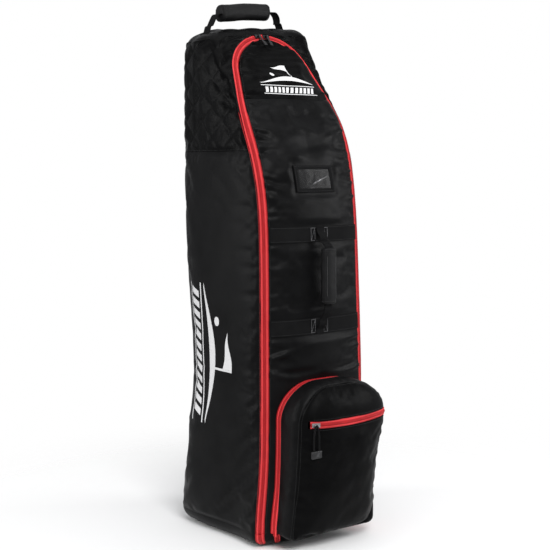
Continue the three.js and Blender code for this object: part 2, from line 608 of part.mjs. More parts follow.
function addPocket() {
  const lidTape = [
    [COIL_HALF_GAP, -2.4], [POCKET_ZIP_OUT - 2, -2.4], [POCKET_ZIP_OUT - 2, -1.4],
    [COIL, -1.4], [COIL, 0.6], [COIL_HALF_GAP, 0.6],
  ];
  const coverTape = mirrored([
    [COIL_HALF_GAP, -2.4], [POCKET_TAPE, -2.4], [POCKET_TAPE, -1.4],
    [COIL, -1.4], [COIL, 0.6], [COIL_HALF_GAP, 0.6],
  ]);
  // This side starts higher, clear of the cover's lower corner as the cover folds down.
  const frontFrames = pocketZipFrames.map((frame) => ({ ...frame, at: frame.at.clone() }));
  for (const end of [frontFrames[0], frontFrames.at(-1)]) end.at.z += 7;
  add(root, "pocket_zip_front_tape", sweep(lidTape, frontFrames), RED_TAPE);
  add(root, "pocket_zip_cover_tape", sweep(coverTape, pocketZipFrames), RED_TAPE);
  add(root, "pocket_gusset", pocketWalls.intersect(rimWedge), BLACK_FABRIC);
  add(root, "pocket_face_panel", pocketFace, BLACK_FABRIC);

  const faceFrames = faceZipFrames(FACE_ZIP_LEFT, FACE_ZIP_RIGHT, 8);
  add(root, "face_zip_lower_tape", sweep(mirrored(tapeProfile(FACE_TAPE)), faceFrames), RED_TAPE);
  add(root, "face_zip_upper_tape", sweep(tapeProfile(FACE_TAPE), faceFrames), RED_TAPE);
  const [start] = faceZipFrames(FACE_ZIP_LEFT + 12, FACE_ZIP_RIGHT, 1);
  const a = faceZipAngle(FACE_ZIP_LEFT + 12);
  const along = new THREE.Vector3(Math.cos(a), Math.sin(a), 0);
  const out = new THREE.Vector3(Math.sin(a), -Math.cos(a), 0);
  const frame = { at: start.at, along, out, across: out.clone().cross(along) };
  addSlider("face_zip", frame, pullShape(78, 22, 12), { turn: 0 });

  const sliderZ = POCKET_BOTTOM + POCKET_BASE_CORNER + 24;
  const at = new THREE.Vector3(POCKET_HALF, frontY(POCKET_HALF, sliderZ) - POCKET_ZIP_OUT, sliderZ);
  const lowEnd = { at, along: Z.clone().negate(), across: Y, out: X };
  addSlider("pocket_zip", lowEnd, pullShape(40, 16, 9), { barAcross: true, bothFlanges: false, turn: 0 });
}

function addWheels() {
  const rearSkin = body(-1.5).subtract(body(2.5));
  const room = block([-HOUSING_X, HOUSING_X], [HOUSING_Y, FAR], [0, HOUSING_TOP]);
  let housing = rearSkin.intersect(room);
  const wellTop = WHEEL_Z + WHEEL_RADIUS + 5;
  const wellFront = WHEEL_Y - WHEEL_RADIUS - 3;
  for (const side of [-1, 1]) {
    const middle = side * WHEEL_X;
    const wellX = (grow) => [middle - WELL_HALF - grow, middle + WELL_HALF + grow];
    const outer = block(wellX(WELL_WALL), [wellFront - WELL_WALL, FAR], [0, wellTop + WELL_WALL]);
    housing = housing.add(outer.intersect(body(-1.5)));
  }
  for (const side of [-1, 1]) {
    const middle = side * WHEEL_X;
    const well = block([middle - WELL_HALF, middle + WELL_HALF], [wellFront, FAR], [-FAR, wellTop]);
    housing = housing.subtract(well);
    housing = housing.subtract(rod(AXLE_RADIUS + GAP, [middle - 30, middle + 30], WHEEL_Y, WHEEL_Z));
  }
  add(root, "wheel_housing", housing, PLASTIC);

  for (const [name, side] of [["left", -1], ["right", 1]]) {
    const middle = side * WHEEL_X;
    const end = WELL_HALF + WELL_WALL + GAP;
    const pin = rod(AXLE_RADIUS, [middle - end - 2.5, middle + end + 2.5], WHEEL_Y, WHEEL_Z);
    const heads = [-1, 1].map((s) => {
      const x = [middle + s * end, middle + s * (end + 2.5)].sort((p, q) => p - q);
      return rod(7, x, WHEEL_Y, WHEEL_Z);
    });
    add(root, `${name}_axle`, joined(pin, ...heads), METAL);
    const wheel = new THREE.Group();
    wheel.position.set(middle, WHEEL_Y, WHEEL_Z);
    wheel.rotation.z = -Math.PI / 2;
    root.add(wheel);
    const half = WHEEL_WIDTH / 2;
    const bore = AXLE_RADIUS + GAP;
    const tyre = [
      [24.4, -9], [28, -9], [31, -half], [33.2, -8], [WHEEL_RADIUS, 0],
      [33.2, 8], [31, half], [28, 9], [24.4, 9],
    ];
    const hub = [
      [11.4, -10], [14, -10], [16, -5], [22, -5], [24, -8], [24, 8], [22, 5], [16, 5], [14, 10], [11.4, 10],
    ];
    const bush = [[bore, -half], [11, -half], [11, half], [bore, half]];
    add(wheel, `${name}_wheel_tyre`, ring(tyre, 28), URETHANE);
    add(wheel, `${name}_wheel_hub`, ring(hub, 28), PLASTIC);
    add(wheel, `${name}_wheel_bush`, ring(bush, 20), METAL);
  }
}

// Two webbing straps inside the back hold the golf bag, each closed by a side-release buckle.
function addBagStraps() {
  const backY = 172;
  for (const [name, z] of [["lower", 430], ["upper", 800]]) {
    const band = [z - 12.5, z + 12.5];
    const onBack = [backY - 1.6, backY];
    add(root, `${name}_bag_strap_left`, block([-104, -18], onBack, band), WEBBING);
    add(root, `${name}_bag_strap_right`, block([20, 104], onBack, band), WEBBING);
    const socketShell = block([-26, 12], [162, 170], [z - 15, z + 15]);
    const socket = socketShell.subtract(block([-15, 13], [164, 168], [z - 11, z + 11]));
    add(root, `${name}_buckle_socket`, socket, PLASTIC);
    const prongs = [-9.5, 4.5].map((dz) => block([-12, 14], [164.6, 167.4], [z + dz, z + dz + 5]));
    const clip = joined(block([12.6, 28], [162.6, 169.4], [z - 14, z + 14]), ...prongs);
    add(root, `${name}_buckle_clip`, clip, PLASTIC);
  }
}

addShell();
addMainZip();
addFront();
addFrontHandle();
addTopHandle();
addPocket();
addWheels();
addBagStraps();

// The case's own middle, pocket and wheels included, goes over the origin.
root.updateMatrixWorld(true);
const extent = new THREE.Box3().setFromObject(root);
root.position.y = -(extent.min.y + extent.max.y) / 2;

export default root;
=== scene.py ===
"""The looks of a wheeled golf travel case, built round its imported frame.

Metres, +Z up, the front faces -Y. Surfaces are worked out about the case's own middle, in the same
terms as the design, and are moved back by SHIFT when they become meshes.
"""
import math
from contextlib import contextmanager

import bpy
import bmesh
import numpy as np
from mathutils import Matrix, Vector
from mathutils.bvhtree import BVHTree
from mathutils.geometry import tessellate_polygon


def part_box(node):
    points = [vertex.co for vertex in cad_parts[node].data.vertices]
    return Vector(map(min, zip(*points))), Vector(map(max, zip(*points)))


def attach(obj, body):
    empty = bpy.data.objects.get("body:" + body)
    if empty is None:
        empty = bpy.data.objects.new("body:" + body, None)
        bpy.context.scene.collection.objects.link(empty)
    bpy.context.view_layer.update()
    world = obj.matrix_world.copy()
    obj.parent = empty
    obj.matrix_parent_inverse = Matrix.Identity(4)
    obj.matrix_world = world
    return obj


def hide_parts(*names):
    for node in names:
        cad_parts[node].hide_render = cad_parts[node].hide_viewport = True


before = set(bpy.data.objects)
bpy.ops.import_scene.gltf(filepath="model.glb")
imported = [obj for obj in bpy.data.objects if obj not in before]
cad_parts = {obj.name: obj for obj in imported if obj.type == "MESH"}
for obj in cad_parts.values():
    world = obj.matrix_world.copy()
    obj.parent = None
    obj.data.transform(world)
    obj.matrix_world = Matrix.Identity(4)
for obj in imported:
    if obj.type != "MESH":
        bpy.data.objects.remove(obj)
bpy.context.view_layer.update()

# ---------------------------------------------------------------- the design's dimensions, repeated
WALL = 0.005
HEIGHT = 1.270
HALF_WIDTH = 0.160
SIDE_PUFF = 0.006
BACK_PUFF = 0.004
BACK_Y = 0.178
BACK_CORNER = 0.050
BASE_ROUND = 0.034
CROWN_ROUND = 0.028
FRONT_Y = -0.162
FRONT_PUFF = 0.028
HOOD_PUFF = 0.018
FRONT_CORNER = 0.024
LEG_ROLL = math.radians(30)
LEAN = 0.575
LEAN_START = 0.905
LEAN_BLEND = 0.060
TILT = math.cos(math.atan(LEAN))
TRAY_TOP = 0.036
HOOD_BOTTOM = 0.955
CROWN_BOTTOM = 1.250
FRONT_SEAM = 1.085
BACK_SEAM_X = 0.108
ZIP_X = 0.148
ZIP_APEX = 1.245
ARCH_RADIUS = 0.122
ARCH_SLANT = math.radians(12)
ZIP_BEND = (0.994, 1.044, 1.094)
ARCH_CENTRE = ZIP_APEX - ARCH_RADIUS * TILT
POCKET_HALF = 0.125
POCKET_BOTTOM = 0.042
POCKET_TOP = 0.405
POCKET_TOP_CORNER = 0.095
POCKET_RIM = 0.246
POCKET_RIM_SLOPE = 0.066
POCKET_PUFF = 0.046
POCKET_ZIP_OUT = 0.014
FACE_ZIP_Z = 0.315
FACE_ZIP_RADIUS = 0.240
FACE_ZIP_FRONT = -0.306
FACE_ZIP_LEFT = -0.106
FACE_ZIP_RIGHT = 0.104
WHEEL_Y = 0.161
HOUSING_X = 0.1265
HOUSING_TOP = 0.0966
HOUSING_FRONT = 0.1197

# ---------------------------------------------------------------- dimensions of the looks
FABRIC_EDGE = 0.0088  # the panels stop this far from the zip's line
MESH_STEP = 0.0042  # spacing of the fine surface
CLOTH_STEP = 0.013  # spacing of the simulated surface
QUILT = 0.075  # the quilting's diamonds, corner to corner
SEAM_DIP = 0.0035  # how wide the dip beside a seam is
PANEL_GAP = 0.0003  # panels that meet at a level seam stop this far from it
FRONT_LAP = 0.0026  # the front's cloth bulges this far over the zip on the right of the arch
TAPE_HALF = 0.0112  # the main zip's tape, from its line to its edge
POCKET_LOW = 0.037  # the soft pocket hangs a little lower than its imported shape, and squarer
POCKET_LOW_CORNER = 0.018
RIM_ROUND = 0.030  # the pocket's face and gusset turn into each other over this distance
RIM_DROP = 0.0070
WEBBINGS = {"upper": (0.737, 0.775), "lower": (0.513, 0.553)}  # the front's two cross webbings, low to high
WEBBING_HALF = 0.137
WINDOW_FRAME = (0.060, 0.857, 0.921)  # half its width, then low to high
WINDOW = (0.050, 0.866, 0.912)
FLAT_PLACES = [(WEBBING_HALF, *painted_highlight) for painted_highlight in WEBBINGS.values()] + [WINDOW_FRAME, (0.140, 0.0, 0.400)]
FRONT_HANDLE_Z = 0.6445  # its middle
TOP_HANDLE = (0.118, 0.110)  # where its anchors are sewn down: to each side, and back
SHIFT = sum(corner.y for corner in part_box("left_axle")) / 2 - WHEEL_Y


# ---------------------------------------------------------------- numbers
def lerp(a, b, t):
    return a + (b - a) * t


def smoothstep(x, low, high):
    t = np.clip((x - low) / (high - low), 0, 1)
    return t * t * (3 - 2 * t)


def unit(v):
    return v / np.maximum(np.linalg.norm(v, axis=-1, keepdims=True), 1e-12)


def bell(x, width):
    return np.exp(-((x / width) ** 2))


def cubic_weights(fine, coarse):
    """Rows of weights that turn `coarse` samples into `fine` ones along a Catmull-Rom curve."""
    t = np.linspace(0, coarse - 1, fine)
    i = np.clip(t.astype(int), 0, coarse - 2)
    f = t - i
    parts = (
        -0.5 * f + f**2 - 0.5 * f**3,
        1 - 2.5 * f**2 + 1.5 * f**3,
        0.5 * f + 2 * f**2 - 1.5 * f**3,
        -0.5 * f**2 + 0.5 * f**3,
    )
    weights = np.zeros((fine, coarse))
    for k, part in enumerate(parts):
        np.add.at(weights, (np.arange(fine), np.clip(i + k - 1, 0, coarse - 1)), part)
    return weights


def lengths(points):
    """How far along its path each point lies."""
    return np.concatenate([[0], np.cumsum(np.linalg.norm(np.diff(points, axis=0), axis=1))])


def points_at(where, length, points):
    """The points this far along a path whose own points lie at these lengths."""
    return np.stack([np.interp(where, length, points[:, k]) for k in range(points.shape[1])], 1)


def evenly(points, count):
    """`count` points evenly spaced along a path."""
    length = lengths(points)
    return points_at(np.linspace(0, length[-1], count), length, points)


def smooth_path(points, count):
    """`count` points evenly spaced along the Catmull-Rom curve through these points."""
    points = np.asarray(points, float)
    dense = cubic_weights(40 * len(points), len(points)) @ points
    return evenly(dense, count)


def full_turn(count):
    return np.linspace(0, 2 * math.pi, count, endpoint=False)


def together(*parts):
    """Grids of numbers as one grid of vectors, each part spread to the size of the largest."""
    return np.stack(np.broadcast_arrays(*parts), -1)


def ripple(points, size, seed, octaves=3):
    """Smooth noise from -1 to 1 over points in space, its lumps about `size` metres across."""
    random = np.random.default_rng(seed)
    total = np.zeros(points.shape[:-1])
    for octave in range(octaves):
        for _ in range(5):
            wave = unit(random.normal(size=3)) * 2 * math.pi / size * 1.9**octave
            total += np.sin(points @ wave + random.uniform(0, 7)) * 0.55**octave
    return total / 4.5


# ---------------------------------------------------------------- the main zip's line and the bag
def zip_plane_y(z):
    return FRONT_Y + LEAN * LEAN_BLEND * np.logaddexp(0, (z - LEAN_START) / LEAN_BLEND)


def zip_plane_slope(z):
    return LEAN / (1 + np.exp((LEAN_START - z) / LEAN_BLEND))


def zip_half(offset=0.0, low=TRAY_TOP):
    """[x, z] up the right half of the main zip's line, moved outwards by offset."""
    slant_rise = ARCH_RADIUS * TILT * math.sin(ARCH_SLANT)
    slant_end = np.array([ARCH_RADIUS * math.cos(ARCH_SLANT), ARCH_CENTRE + slant_rise])
    bend_start, bend_corner, bend_end = ZIP_BEND
    slope = (ZIP_X - slant_end[0]) / (slant_end[1] - bend_corner)
    corner_end = np.array([ZIP_X - slope * (bend_end - bend_corner), bend_end])
    leg = lerp(np.array([ZIP_X, low]), np.array([ZIP_X, bend_start]), np.linspace(0, 1, 60)[:, None])
    t = np.linspace(0, 1, 30)[1:, None]
    bend = (1 - t) ** 2 * leg[-1] + 2 * t * (1 - t) * np.array([ZIP_X, bend_corner]) + t**2 * corner_end
    slant = lerp(corner_end, slant_end, np.linspace(0, 1, 30)[1:, None])
    a = np.linspace(ARCH_SLANT, math.pi / 2, 60)[1:]
    arch = np.stack([ARCH_RADIUS * np.cos(a), ARCH_CENTRE + ARCH_RADIUS * TILT * np.sin(a)], 1)
    path = np.concatenate([leg, bend, slant, arch])
    along = unit(np.gradient(path / [1, TILT], axis=0))
    along[-1] = [-1, 0]
    return path + offset * np.stack([along[:, 1], -along[:, 0] * TILT], 1)


def zip_width(z, offset=0.0):
    x, height = zip_half(offset).T
    return np.interp(z, height, x, right=0.0)


def towards_zip(x, z):
    """0 at the middle of the front, 1 on the zip."""
    below = np.abs(x) / np.maximum(zip_width(z), 1e-6)
    above = np.hypot(x, (z - ARCH_CENTRE) / TILT) / ARCH_RADIUS
    return np.where(z <= ARCH_CENTRE, below, above)


CORNER_X = ZIP_X - FRONT_CORNER * math.sin(LEG_ROLL)
CORNER_Y = FRONT_CORNER * math.cos(LEG_ROLL)


def front_y(x, z):
    x, z = np.broadcast_arrays(np.asarray(x, float), np.asarray(z, float))
    near = towards_zip(x, z)
    plane = zip_plane_y(z)
    puff = lerp(FRONT_PUFF, HOOD_PUFF, smoothstep(z, 0.950, 1.150)) * (1 - np.minimum(near, 1) ** 3)
    past = np.clip(np.abs(x) - CORNER_X, 0, FRONT_CORNER)
    corner = CORNER_Y - np.sqrt(FRONT_CORNER**2 - past**2)
    outside = corner * np.clip((np.abs(x) - zip_width(z)) / 0.015, 0, 1)
    return np.where(near < 1, plane - puff, plane + outside)


def rounding(z):
    """How far the outline is drawn in at height z, near the base and the crown."""
    base = np.clip(z / BASE_ROUND, 0, 1)
    crown = np.clip((HEIGHT - z) / CROWN_ROUND, 0, 1)
    drawn = BASE_ROUND * (1 - np.sqrt(1 - (1 - base) ** 2))
    return drawn + CROWN_ROUND * (1 - np.sqrt(1 - (1 - crown) ** 2))


FLAT_COUNT, CORNER_COUNT, SIDE_COUNT, SEAM_COUNT = 30, 20, 40, 8  # points on the outline's stretches


def half_ring(z, start):
    """The right half of the bag's outline at heights z: from x = start on the front to the back's middle.
    Returns (rows, points, 3), and the places in it of the housing's edge and the back seam."""
    z, start = np.asarray(z, float)[:, None], np.asarray(start, float)[:, None]
    plane = zip_plane_y(z)
    flat_x = lerp(start, np.maximum(start, CORNER_X), np.linspace(0, 1, FLAT_COUNT))
    first = np.arcsin(np.clip((start - CORNER_X) / FRONT_CORNER, 0, 1))
    turn = lerp(first, math.pi / 2, np.linspace(0, 1, CORNER_COUNT)[1:])
    corner_x = CORNER_X + FRONT_CORNER * np.sin(turn)
    on_arc = plane + CORNER_Y - FRONT_CORNER * np.cos(turn)
    corner_y = np.where(corner_x < ZIP_X, front_y(corner_x, z), on_arc)
    t = np.linspace(0, 1, SIDE_COUNT)[1:] + 0 * z
    side_y = lerp(plane + CORNER_Y, BACK_Y - BACK_CORNER, t)
    side_x = HALF_WIDTH + SIDE_PUFF * np.sin(math.pi * t)
    housing = math.acos((HOUSING_X - HALF_WIDTH + BACK_CORNER) / BACK_CORNER)
    to_housing, to_seam = np.linspace(0, housing, CORNER_COUNT), np.linspace(housing, math.pi / 2, SEAM_COUNT)
    turn = np.concatenate([to_housing[1:], to_seam[1:]]) + 0 * z
    back_x = HALF_WIDTH - BACK_CORNER + BACK_CORNER * np.cos(turn)
    back_y = BACK_Y - BACK_CORNER + BACK_CORNER * np.sin(turn)
    rest_x = np.concatenate([[BACK_SEAM_X], np.linspace(BACK_SEAM_X, 0, 20)[1:]]) + 0 * z
    rest_y = BACK_Y + BACK_PUFF * (1 - (rest_x / (HALF_WIDTH - BACK_CORNER)) ** 2)
    x = np.concatenate([flat_x, corner_x, side_x, back_x, rest_x], 1)
    y = np.concatenate([front_y(flat_x, z), corner_y, side_y, back_y, rest_y], 1)
    edge = rounding(z)
    middle = (plane + BACK_Y) / 2
    x = x * (1 - edge / HALF_WIDTH)
    y = middle + (y - middle) * (1 - edge / (BACK_Y - middle))
    edge_of_housing = FLAT_COUNT + 2 * (CORNER_COUNT - 1) + SIDE_COUNT - 2
    marks = {"housing": edge_of_housing, "seam": edge_of_housing + SEAM_COUNT, "middle": x.shape[1] - 1}
    return together(x, y, z), marks


def resample(rows, first, last, count):
    """Each row between two of its places, as `count` evenly spaced points."""
    return np.stack([evenly(row[first : last + 1], count) for row in rows])


# ---------------------------------------------------------------- surfaces as grids of points
def grid_normals(grid):
    """Unit normals of a (rows, columns, 3) grid, along columns cross rows."""
    normal = np.cross(np.gradient(grid, axis=1), np.gradient(grid, axis=0))
    return unit(normal)


def round_normals(grid):
    """The same where the grid's last column joins its first."""
    return grid_normals(np.concatenate([grid[:, -1:], grid, grid[:, :1]], 1))[:, 1:-1]


def from_left(grid):
    """How far along its row each point lies from the first column."""
    across = np.linalg.norm(np.diff(grid, axis=1), axis=2)
    return np.concatenate([np.zeros((len(grid), 1)), np.cumsum(across, axis=1)], 1)


def edge_distance(grid, sides="lrbt"):
    """How far each point lies, along the grid, from the nearest of these sides."""
    left, bottom = from_left(grid), from_left(grid.transpose(1, 0, 2)).T
    reach = {"l": left, "r": left[:, -1:] - left, "b": bottom, "t": bottom[-1:] - bottom}
    return np.min([reach[side] for side in sides], axis=0)


def displaced(grid, height):
    return grid + grid_normals(grid) * height[..., None]


def settled(grid, grow, pressure, cap, frames=16, stiffness=8.0, sag=0.15):
    """The grid after its cloth, cut a little too large and pinned at its seams, has settled."""
    rows, columns = (max(6, int(lengths(line)[-1] / CLOTH_STEP)) for line in (grid[:, 0], grid[len(grid) // 3]))
    at = [np.round(np.linspace(0, size - 1, n)).astype(int) for size, n in zip(grid.shape, (rows, columns))]
    coarse = grid[np.ix_(*at)]
    index = np.arange(rows * columns).reshape(rows, columns)
    mesh = bpy.data.meshes.new("cloth")
    mesh.from_pydata(coarse.reshape(-1, 3).tolist(), [], grid_faces(rows, columns).tolist())
    cloth = linked("cloth", mesh)
    pins = cloth.vertex_groups.new(name="pins")
    border = np.concatenate([index[0], index[-1], index[:, 0], index[:, -1]])
    pins.add([int(i) for i in set(border.tolist())], 1.0, "REPLACE")
    modifier = cloth.modifiers.new("Cloth", "CLOTH")
    settings = modifier.settings
    settings.quality = 6
    settings.mass = 0.15
    settings.tension_stiffness = settings.compression_stiffness = stiffness
    settings.shear_stiffness = stiffness / 2
    settings.bending_stiffness = 0.08
    settings.vertex_group_mass = "pins"
    settings.shrink_min = -grow
    settings.use_pressure = True
    settings.uniform_pressure_force = pressure
    settings.effector_weights.gravity = sag
    modifier.collision_settings.use_collision = False
    modifier.point_cache.frame_start = 1
    modifier.point_cache.frame_end = frames
    for number in range(1, frames + 1):
        bpy.context.scene.frame_set(number)
    shape = cloth.evaluated_get(bpy.context.evaluated_depsgraph_get()).to_mesh()
    moved = np.zeros(rows * columns * 3)
    shape.vertices.foreach_get("co", moved)
    moved = moved.reshape(rows, columns, 3) - coarse
    bpy.data.objects.remove(cloth)
    bpy.context.scene.frame_set(1)
    far = np.linalg.norm(moved, axis=2, keepdims=True)
    moved *= np.tanh(far / cap) * cap / np.maximum(far, 1e-9)
    fine = [cubic_weights(size, n) for size, n in zip(grid.shape, (rows, columns))]
    return grid + np.einsum("ri,ijk,cj->rck", fine[0], moved, fine[1])


def puckers(along, away, seed, pitch=0.028, reach=(0.030, 0.075), width=(0.004, 0.009), rise=0.0018):
    """Small folds that run out of a seam: along is the distance along it, away the distance from it."""
    random = np.random.default_rng(seed)
    low, high = along.min(), along.max()
    total = np.zeros(along.shape)
    for start in np.arange(low, high, pitch):
        at = start + random.uniform(-0.5, 0.5) * pitch
        length, wide = random.uniform(*reach), random.uniform(*width)
        slant = random.uniform(-0.35, 0.35)
        beside = along - at - slant * away
        fold = bell(beside, wide) - 0.6 * bell(beside - 1.6 * wide, wide)
        total += rise * random.uniform(0.3, 1.0) * fold * np.clip(1 - away / length, 0, 1)
    return total * smoothstep(away, 0.0008, 0.0075)


def quilting(a, b, rise=0.0042):
    """Puffed diamonds between lines of stitches: a and b are distances over the surface."""
    first, second = np.sin(math.pi * (a + b) / QUILT), np.sin(math.pi * (a - b) / QUILT)
    return rise * (np.abs(first * second) ** 0.45 - 0.45)


# ---------------------------------------------------------------- how the cloth stands
# Where the soft case gives way: middle of the place, how far it reaches, and how far the cloth moves there.
STANCE = [
    ((-0.165, 0.130, 0.420), (0.050, 0.110, 0.150), (0.009, -0.006, 0.000)),
    ((-0.165, 0.130, 0.700), (0.050, 0.110, 0.130), (-0.006, 0.003, 0.000)),
    ((-0.165, 0.110, 0.265), (0.040, 0.100, 0.035), (-0.006, 0.004, 0.000)),
    ((-0.165, 0.105, 0.080), (0.036, 0.080, 0.085), (-0.0150, 0.010, 0.000)),
    ((0.170, -0.110, 1.010), (0.060, 0.090, 0.080), (0.010, -0.006, 0.000)),
    ((0.170, -0.130, 0.450), (0.050, 0.090, 0.180), (0.009, -0.006, 0.000)),
    ((-0.150, -0.160, 0.030), (0.040, 0.050, 0.090), (-0.0165, -0.002, 0.000)),
    ((0.150, -0.160, 0.030), (0.050, 0.060, 0.100), (0.006, -0.002, 0.000)),
    ((0.128, -0.010, 1.170), (0.034, 0.060, 0.075), (0.004, 0.016, 0.000)),
    ((0.070, -0.060, 1.120), (0.045, 0.060, 0.080), (0.004, -0.009, 0.000)),
    ((-0.155, 0.110, 1.280), (0.030, 0.160, 0.034), (0.012, 0.000, -0.010)),
    ((-0.090, 0.110, 1.315), (0.050, 0.060, 0.030), (0.000, 0.000, -0.006)),
    ((0.135, -0.280, 0.322), (0.034, 0.070, 0.098), (0.041, 0.004, 0.000)),
    ((0.120, -0.270, 0.045), (0.070, 0.040, 0.060), (0.014, -0.004, -0.010)),
    ((-0.120, -0.260, 0.040), (0.060, 0.040, 0.060), (-0.008, 0.000, -0.010)),
    ((0.000, -0.280, 0.040), (0.080, 0.034, 0.040), (0.000, -0.003, -0.012)),
]
TOP_LEAN = (0.080, 0.050)  # the top sinks to the left and rises to the right by this slope


def stood(points):
    """Moves points to where they are once the filled case stands."""
    moved = points.copy()
    for middle, reach, by in STANCE:
        far = ((points - middle) / reach) ** 2
        moved += np.exp(-0.5 * far.sum(-1, keepdims=True)) * by
    x = points[..., 0]
    slope = np.where(x < 0, TOP_LEAN[0], TOP_LEAN[1])
    moved[..., 2] += slope * x * smoothstep(points[..., 2], 1.00, 1.26)
    return moved


# ---------------------------------------------------------------- meshes
def linked(name, data):
    """A new object with this data, in the scene."""
    obj = bpy.data.objects.new(name, data)
    bpy.context.scene.collection.objects.link(obj)
    return obj


@contextmanager
def edited(obj):
    """The object's mesh opened for editing, and written back afterwards."""
    mesh = bmesh.new()
    mesh.from_mesh(obj.data)
    yield mesh
    mesh.to_mesh(obj.data)
    mesh.free()


def new_mesh(name, points, faces, materials, picks=None, cloth=None, shifted=True):
    """A mesh object from arrays. picks is each face's material, cloth each point's place on its cloth."""
    points = np.asarray(points, float).reshape(-1, 3)
    if shifted:
        points = stood(points) + [0, SHIFT, 0]
    points = points.astype(np.float32)
    mesh = bpy.data.meshes.new(name)
    sizes = np.array([len(face) for face in faces], np.int32)
    corners = np.concatenate([np.asarray(face, np.int32) for face in faces])
    mesh.vertices.add(len(points))
    mesh.vertices.foreach_set("co", points.ravel())
    mesh.loops.add(len(corners))
    mesh.loops.foreach_set("vertex_index", corners)
    mesh.polygons.add(len(sizes))
    mesh.polygons.foreach_set("loop_start", np.concatenate([[0], np.cumsum(sizes)[:-1]]).astype(np.int32))
    mesh.polygons.foreach_set("loop_total", sizes)
    if picks is not None:
        mesh.polygons.foreach_set("material_index", np.asarray(picks, np.int32))
    mesh.polygons.foreach_set("use_smooth", np.full(len(sizes), True))
    if cloth is not None:
        place = mesh.attributes.new("cloth", "FLOAT_VECTOR", "POINT")
        place.data.foreach_set("vector", np.asarray(cloth, np.float32).ravel())
    mesh.update(calc_edges=True)
    mesh.validate()
    for material in materials:
        mesh.materials.append(material)
    return linked(name, mesh)


def grid_faces(rows, columns, keep=None, round_rows=False, round_columns=False):
    index = np.arange(rows * columns).reshape(rows, columns)
    if round_columns:
        index = np.concatenate([index, index[:, :1]], 1)
    if round_rows:
        index = np.concatenate([index, index[:1]], 0)
    faces = np.stack([index[:-1, :-1], index[:-1, 1:], index[1:, 1:], index[1:, :-1]], -1)
    return faces[keep] if keep is not None else faces.reshape(-1, 4)


def slab(name, grid, thickness, materials, cloth=None, keep=None, inner=None, shifted=True):
    """A grid as a closed sheet: the outer surface, an inner one this thickness behind the smooth surface
    `inner` (further where the cloth sinks below it), and the rim. keep says which faces are there."""
    rows, columns = grid.shape[:2]
    faces = grid_faces(rows, columns, keep)
    if inner is None:
        inner = grid
    normals = grid_normals(inner)
    sunk = np.minimum(((grid - inner) * normals).sum(-1, keepdims=True), 0)
    back = (inner + normals * (sunk - thickness)).reshape(-1, 3)
    count = rows * columns
    edges = np.concatenate([faces[:, [i, (i + 1) % 4]] for i in range(4)])
    code = edges.min(1).astype(np.int64) * count + edges.max(1)
    _, first, times = np.unique(code, return_index=True, return_counts=True)
    border = edges[first[times == 1]]
    rim = np.stack([border[:, 1], border[:, 0], border[:, 0] + count, border[:, 1] + count], 1)
    everything = np.concatenate([faces, faces[:, ::-1] + count, rim])
    picks = np.zeros(len(everything))
    picks[len(faces) : 2 * len(faces)] = len(materials) - 1
    points = np.concatenate([grid.reshape(-1, 3), back])
    used, everything = np.unique(everything, return_inverse=True)
    everything = everything.reshape(-1, 4)
    if cloth is not None:
        cloth = np.concatenate([cloth.reshape(-1, 3)] * 2)[used]
    obj = new_mesh(name, points[used], everything, materials, picks, cloth, shifted)
    sharpen(obj, 55)
    return obj


def tube(name, rings, materials, cloth=None):
    """A closed solid skinned over equally long rings of points, with its ends capped."""
    rings = np.asarray(rings)
    count, around = rings.shape[:2]
    faces = [list(face) for face in grid_faces(count, around, round_columns=True)[:, ::-1]]
    faces.append(list(range(around)))
    faces.append(list(range((count - 1) * around, count * around))[::-1])
    obj = new_mesh(name, rings, faces, materials, cloth=cloth)
    outwards(obj)
    sharpen(obj, 50)
    return obj


def outwards(obj):
    """Turns every face to point out."""
    with edited(obj) as mesh:
        bmesh.ops.recalc_face_normals(mesh, faces=mesh.faces)


def sharpen(obj, angle):
    """Shades the object smooth except across edges sharper than this angle."""
    limit = math.radians(angle)
    with edited(obj) as mesh:
        for face in mesh.faces:
            face.smooth = True
        for edge in mesh.edges:
            edge.smooth = not (len(edge.link_faces) == 2 and edge.calc_face_angle(0) > limit)


def applied(obj):
    """Turns the object's modifiers into its mesh."""
    shape = obj.evaluated_get(bpy.context.evaluated_depsgraph_get())
    mesh = bpy.data.meshes.new_from_object(shape)
    obj.modifiers.clear()
    obj.data = mesh
    return obj


def piece(obj, body, slot, *nodes):
    """Attaches a piece to the body it rides on and hides the imported solids it stands for; the slot is not
    used.
    """
    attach(obj, body)
    if nodes:
        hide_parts(*nodes)
    return obj


def repeated(count, per, *kinds):
    """The faces of `count` like pieces of `per` points each, from the first one's faces, a kind at a time."""
    offset = (np.arange(count) * per)[:, None, None]
    return [list(face) for local in kinds for face in (local + offset).reshape(-1, local.shape[1])]


def add_stitches(name, paths, body, material=None, pitch=0.0052, length=0.0036, radius=0.00042):
    """Rows of thread: each stitch a small spindle lying on its path. A path is points and their normals."""
    spindle = [(-0.5, 0.05), (-0.36, 1.0), (0.36, 1.0), (0.5, 0.05)]
    angles = full_turn(5)
    blocks = []
    for points, normals in paths:
        length_at = lengths(points)
        where = np.arange(pitch, length_at[-1] - pitch / 2, pitch)
        at, normal = points_at(where, length_at, points), points_at(where, length_at, normals)
        along = unit(points_at(where + 0.001, length_at, points) - at)
        aside = unit(np.cross(normal, along))
        rings = [
            at + along * (t * length) + (aside * math.cos(a) + normal * math.sin(a)) * radius * size
            + normal * radius * 0.6
            for t, size in spindle for a in angles
        ]
        blocks.append(np.stack(rings, 1))
    points = np.concatenate(blocks)
    count, per = points.shape[:2]
    local = grid_faces(len(spindle), len(angles), round_columns=True)
    caps = np.array([range(5), range(per - 1, per - 6, -1)])
    place = together(points[..., 0] + points[..., 1], points[..., 2], 0)
    obj = new_mesh(name, points, repeated(count, per, local[:, ::-1], caps), [material or THREAD], cloth=place)
    outwards(obj)
    return piece(obj, body, "webbing")


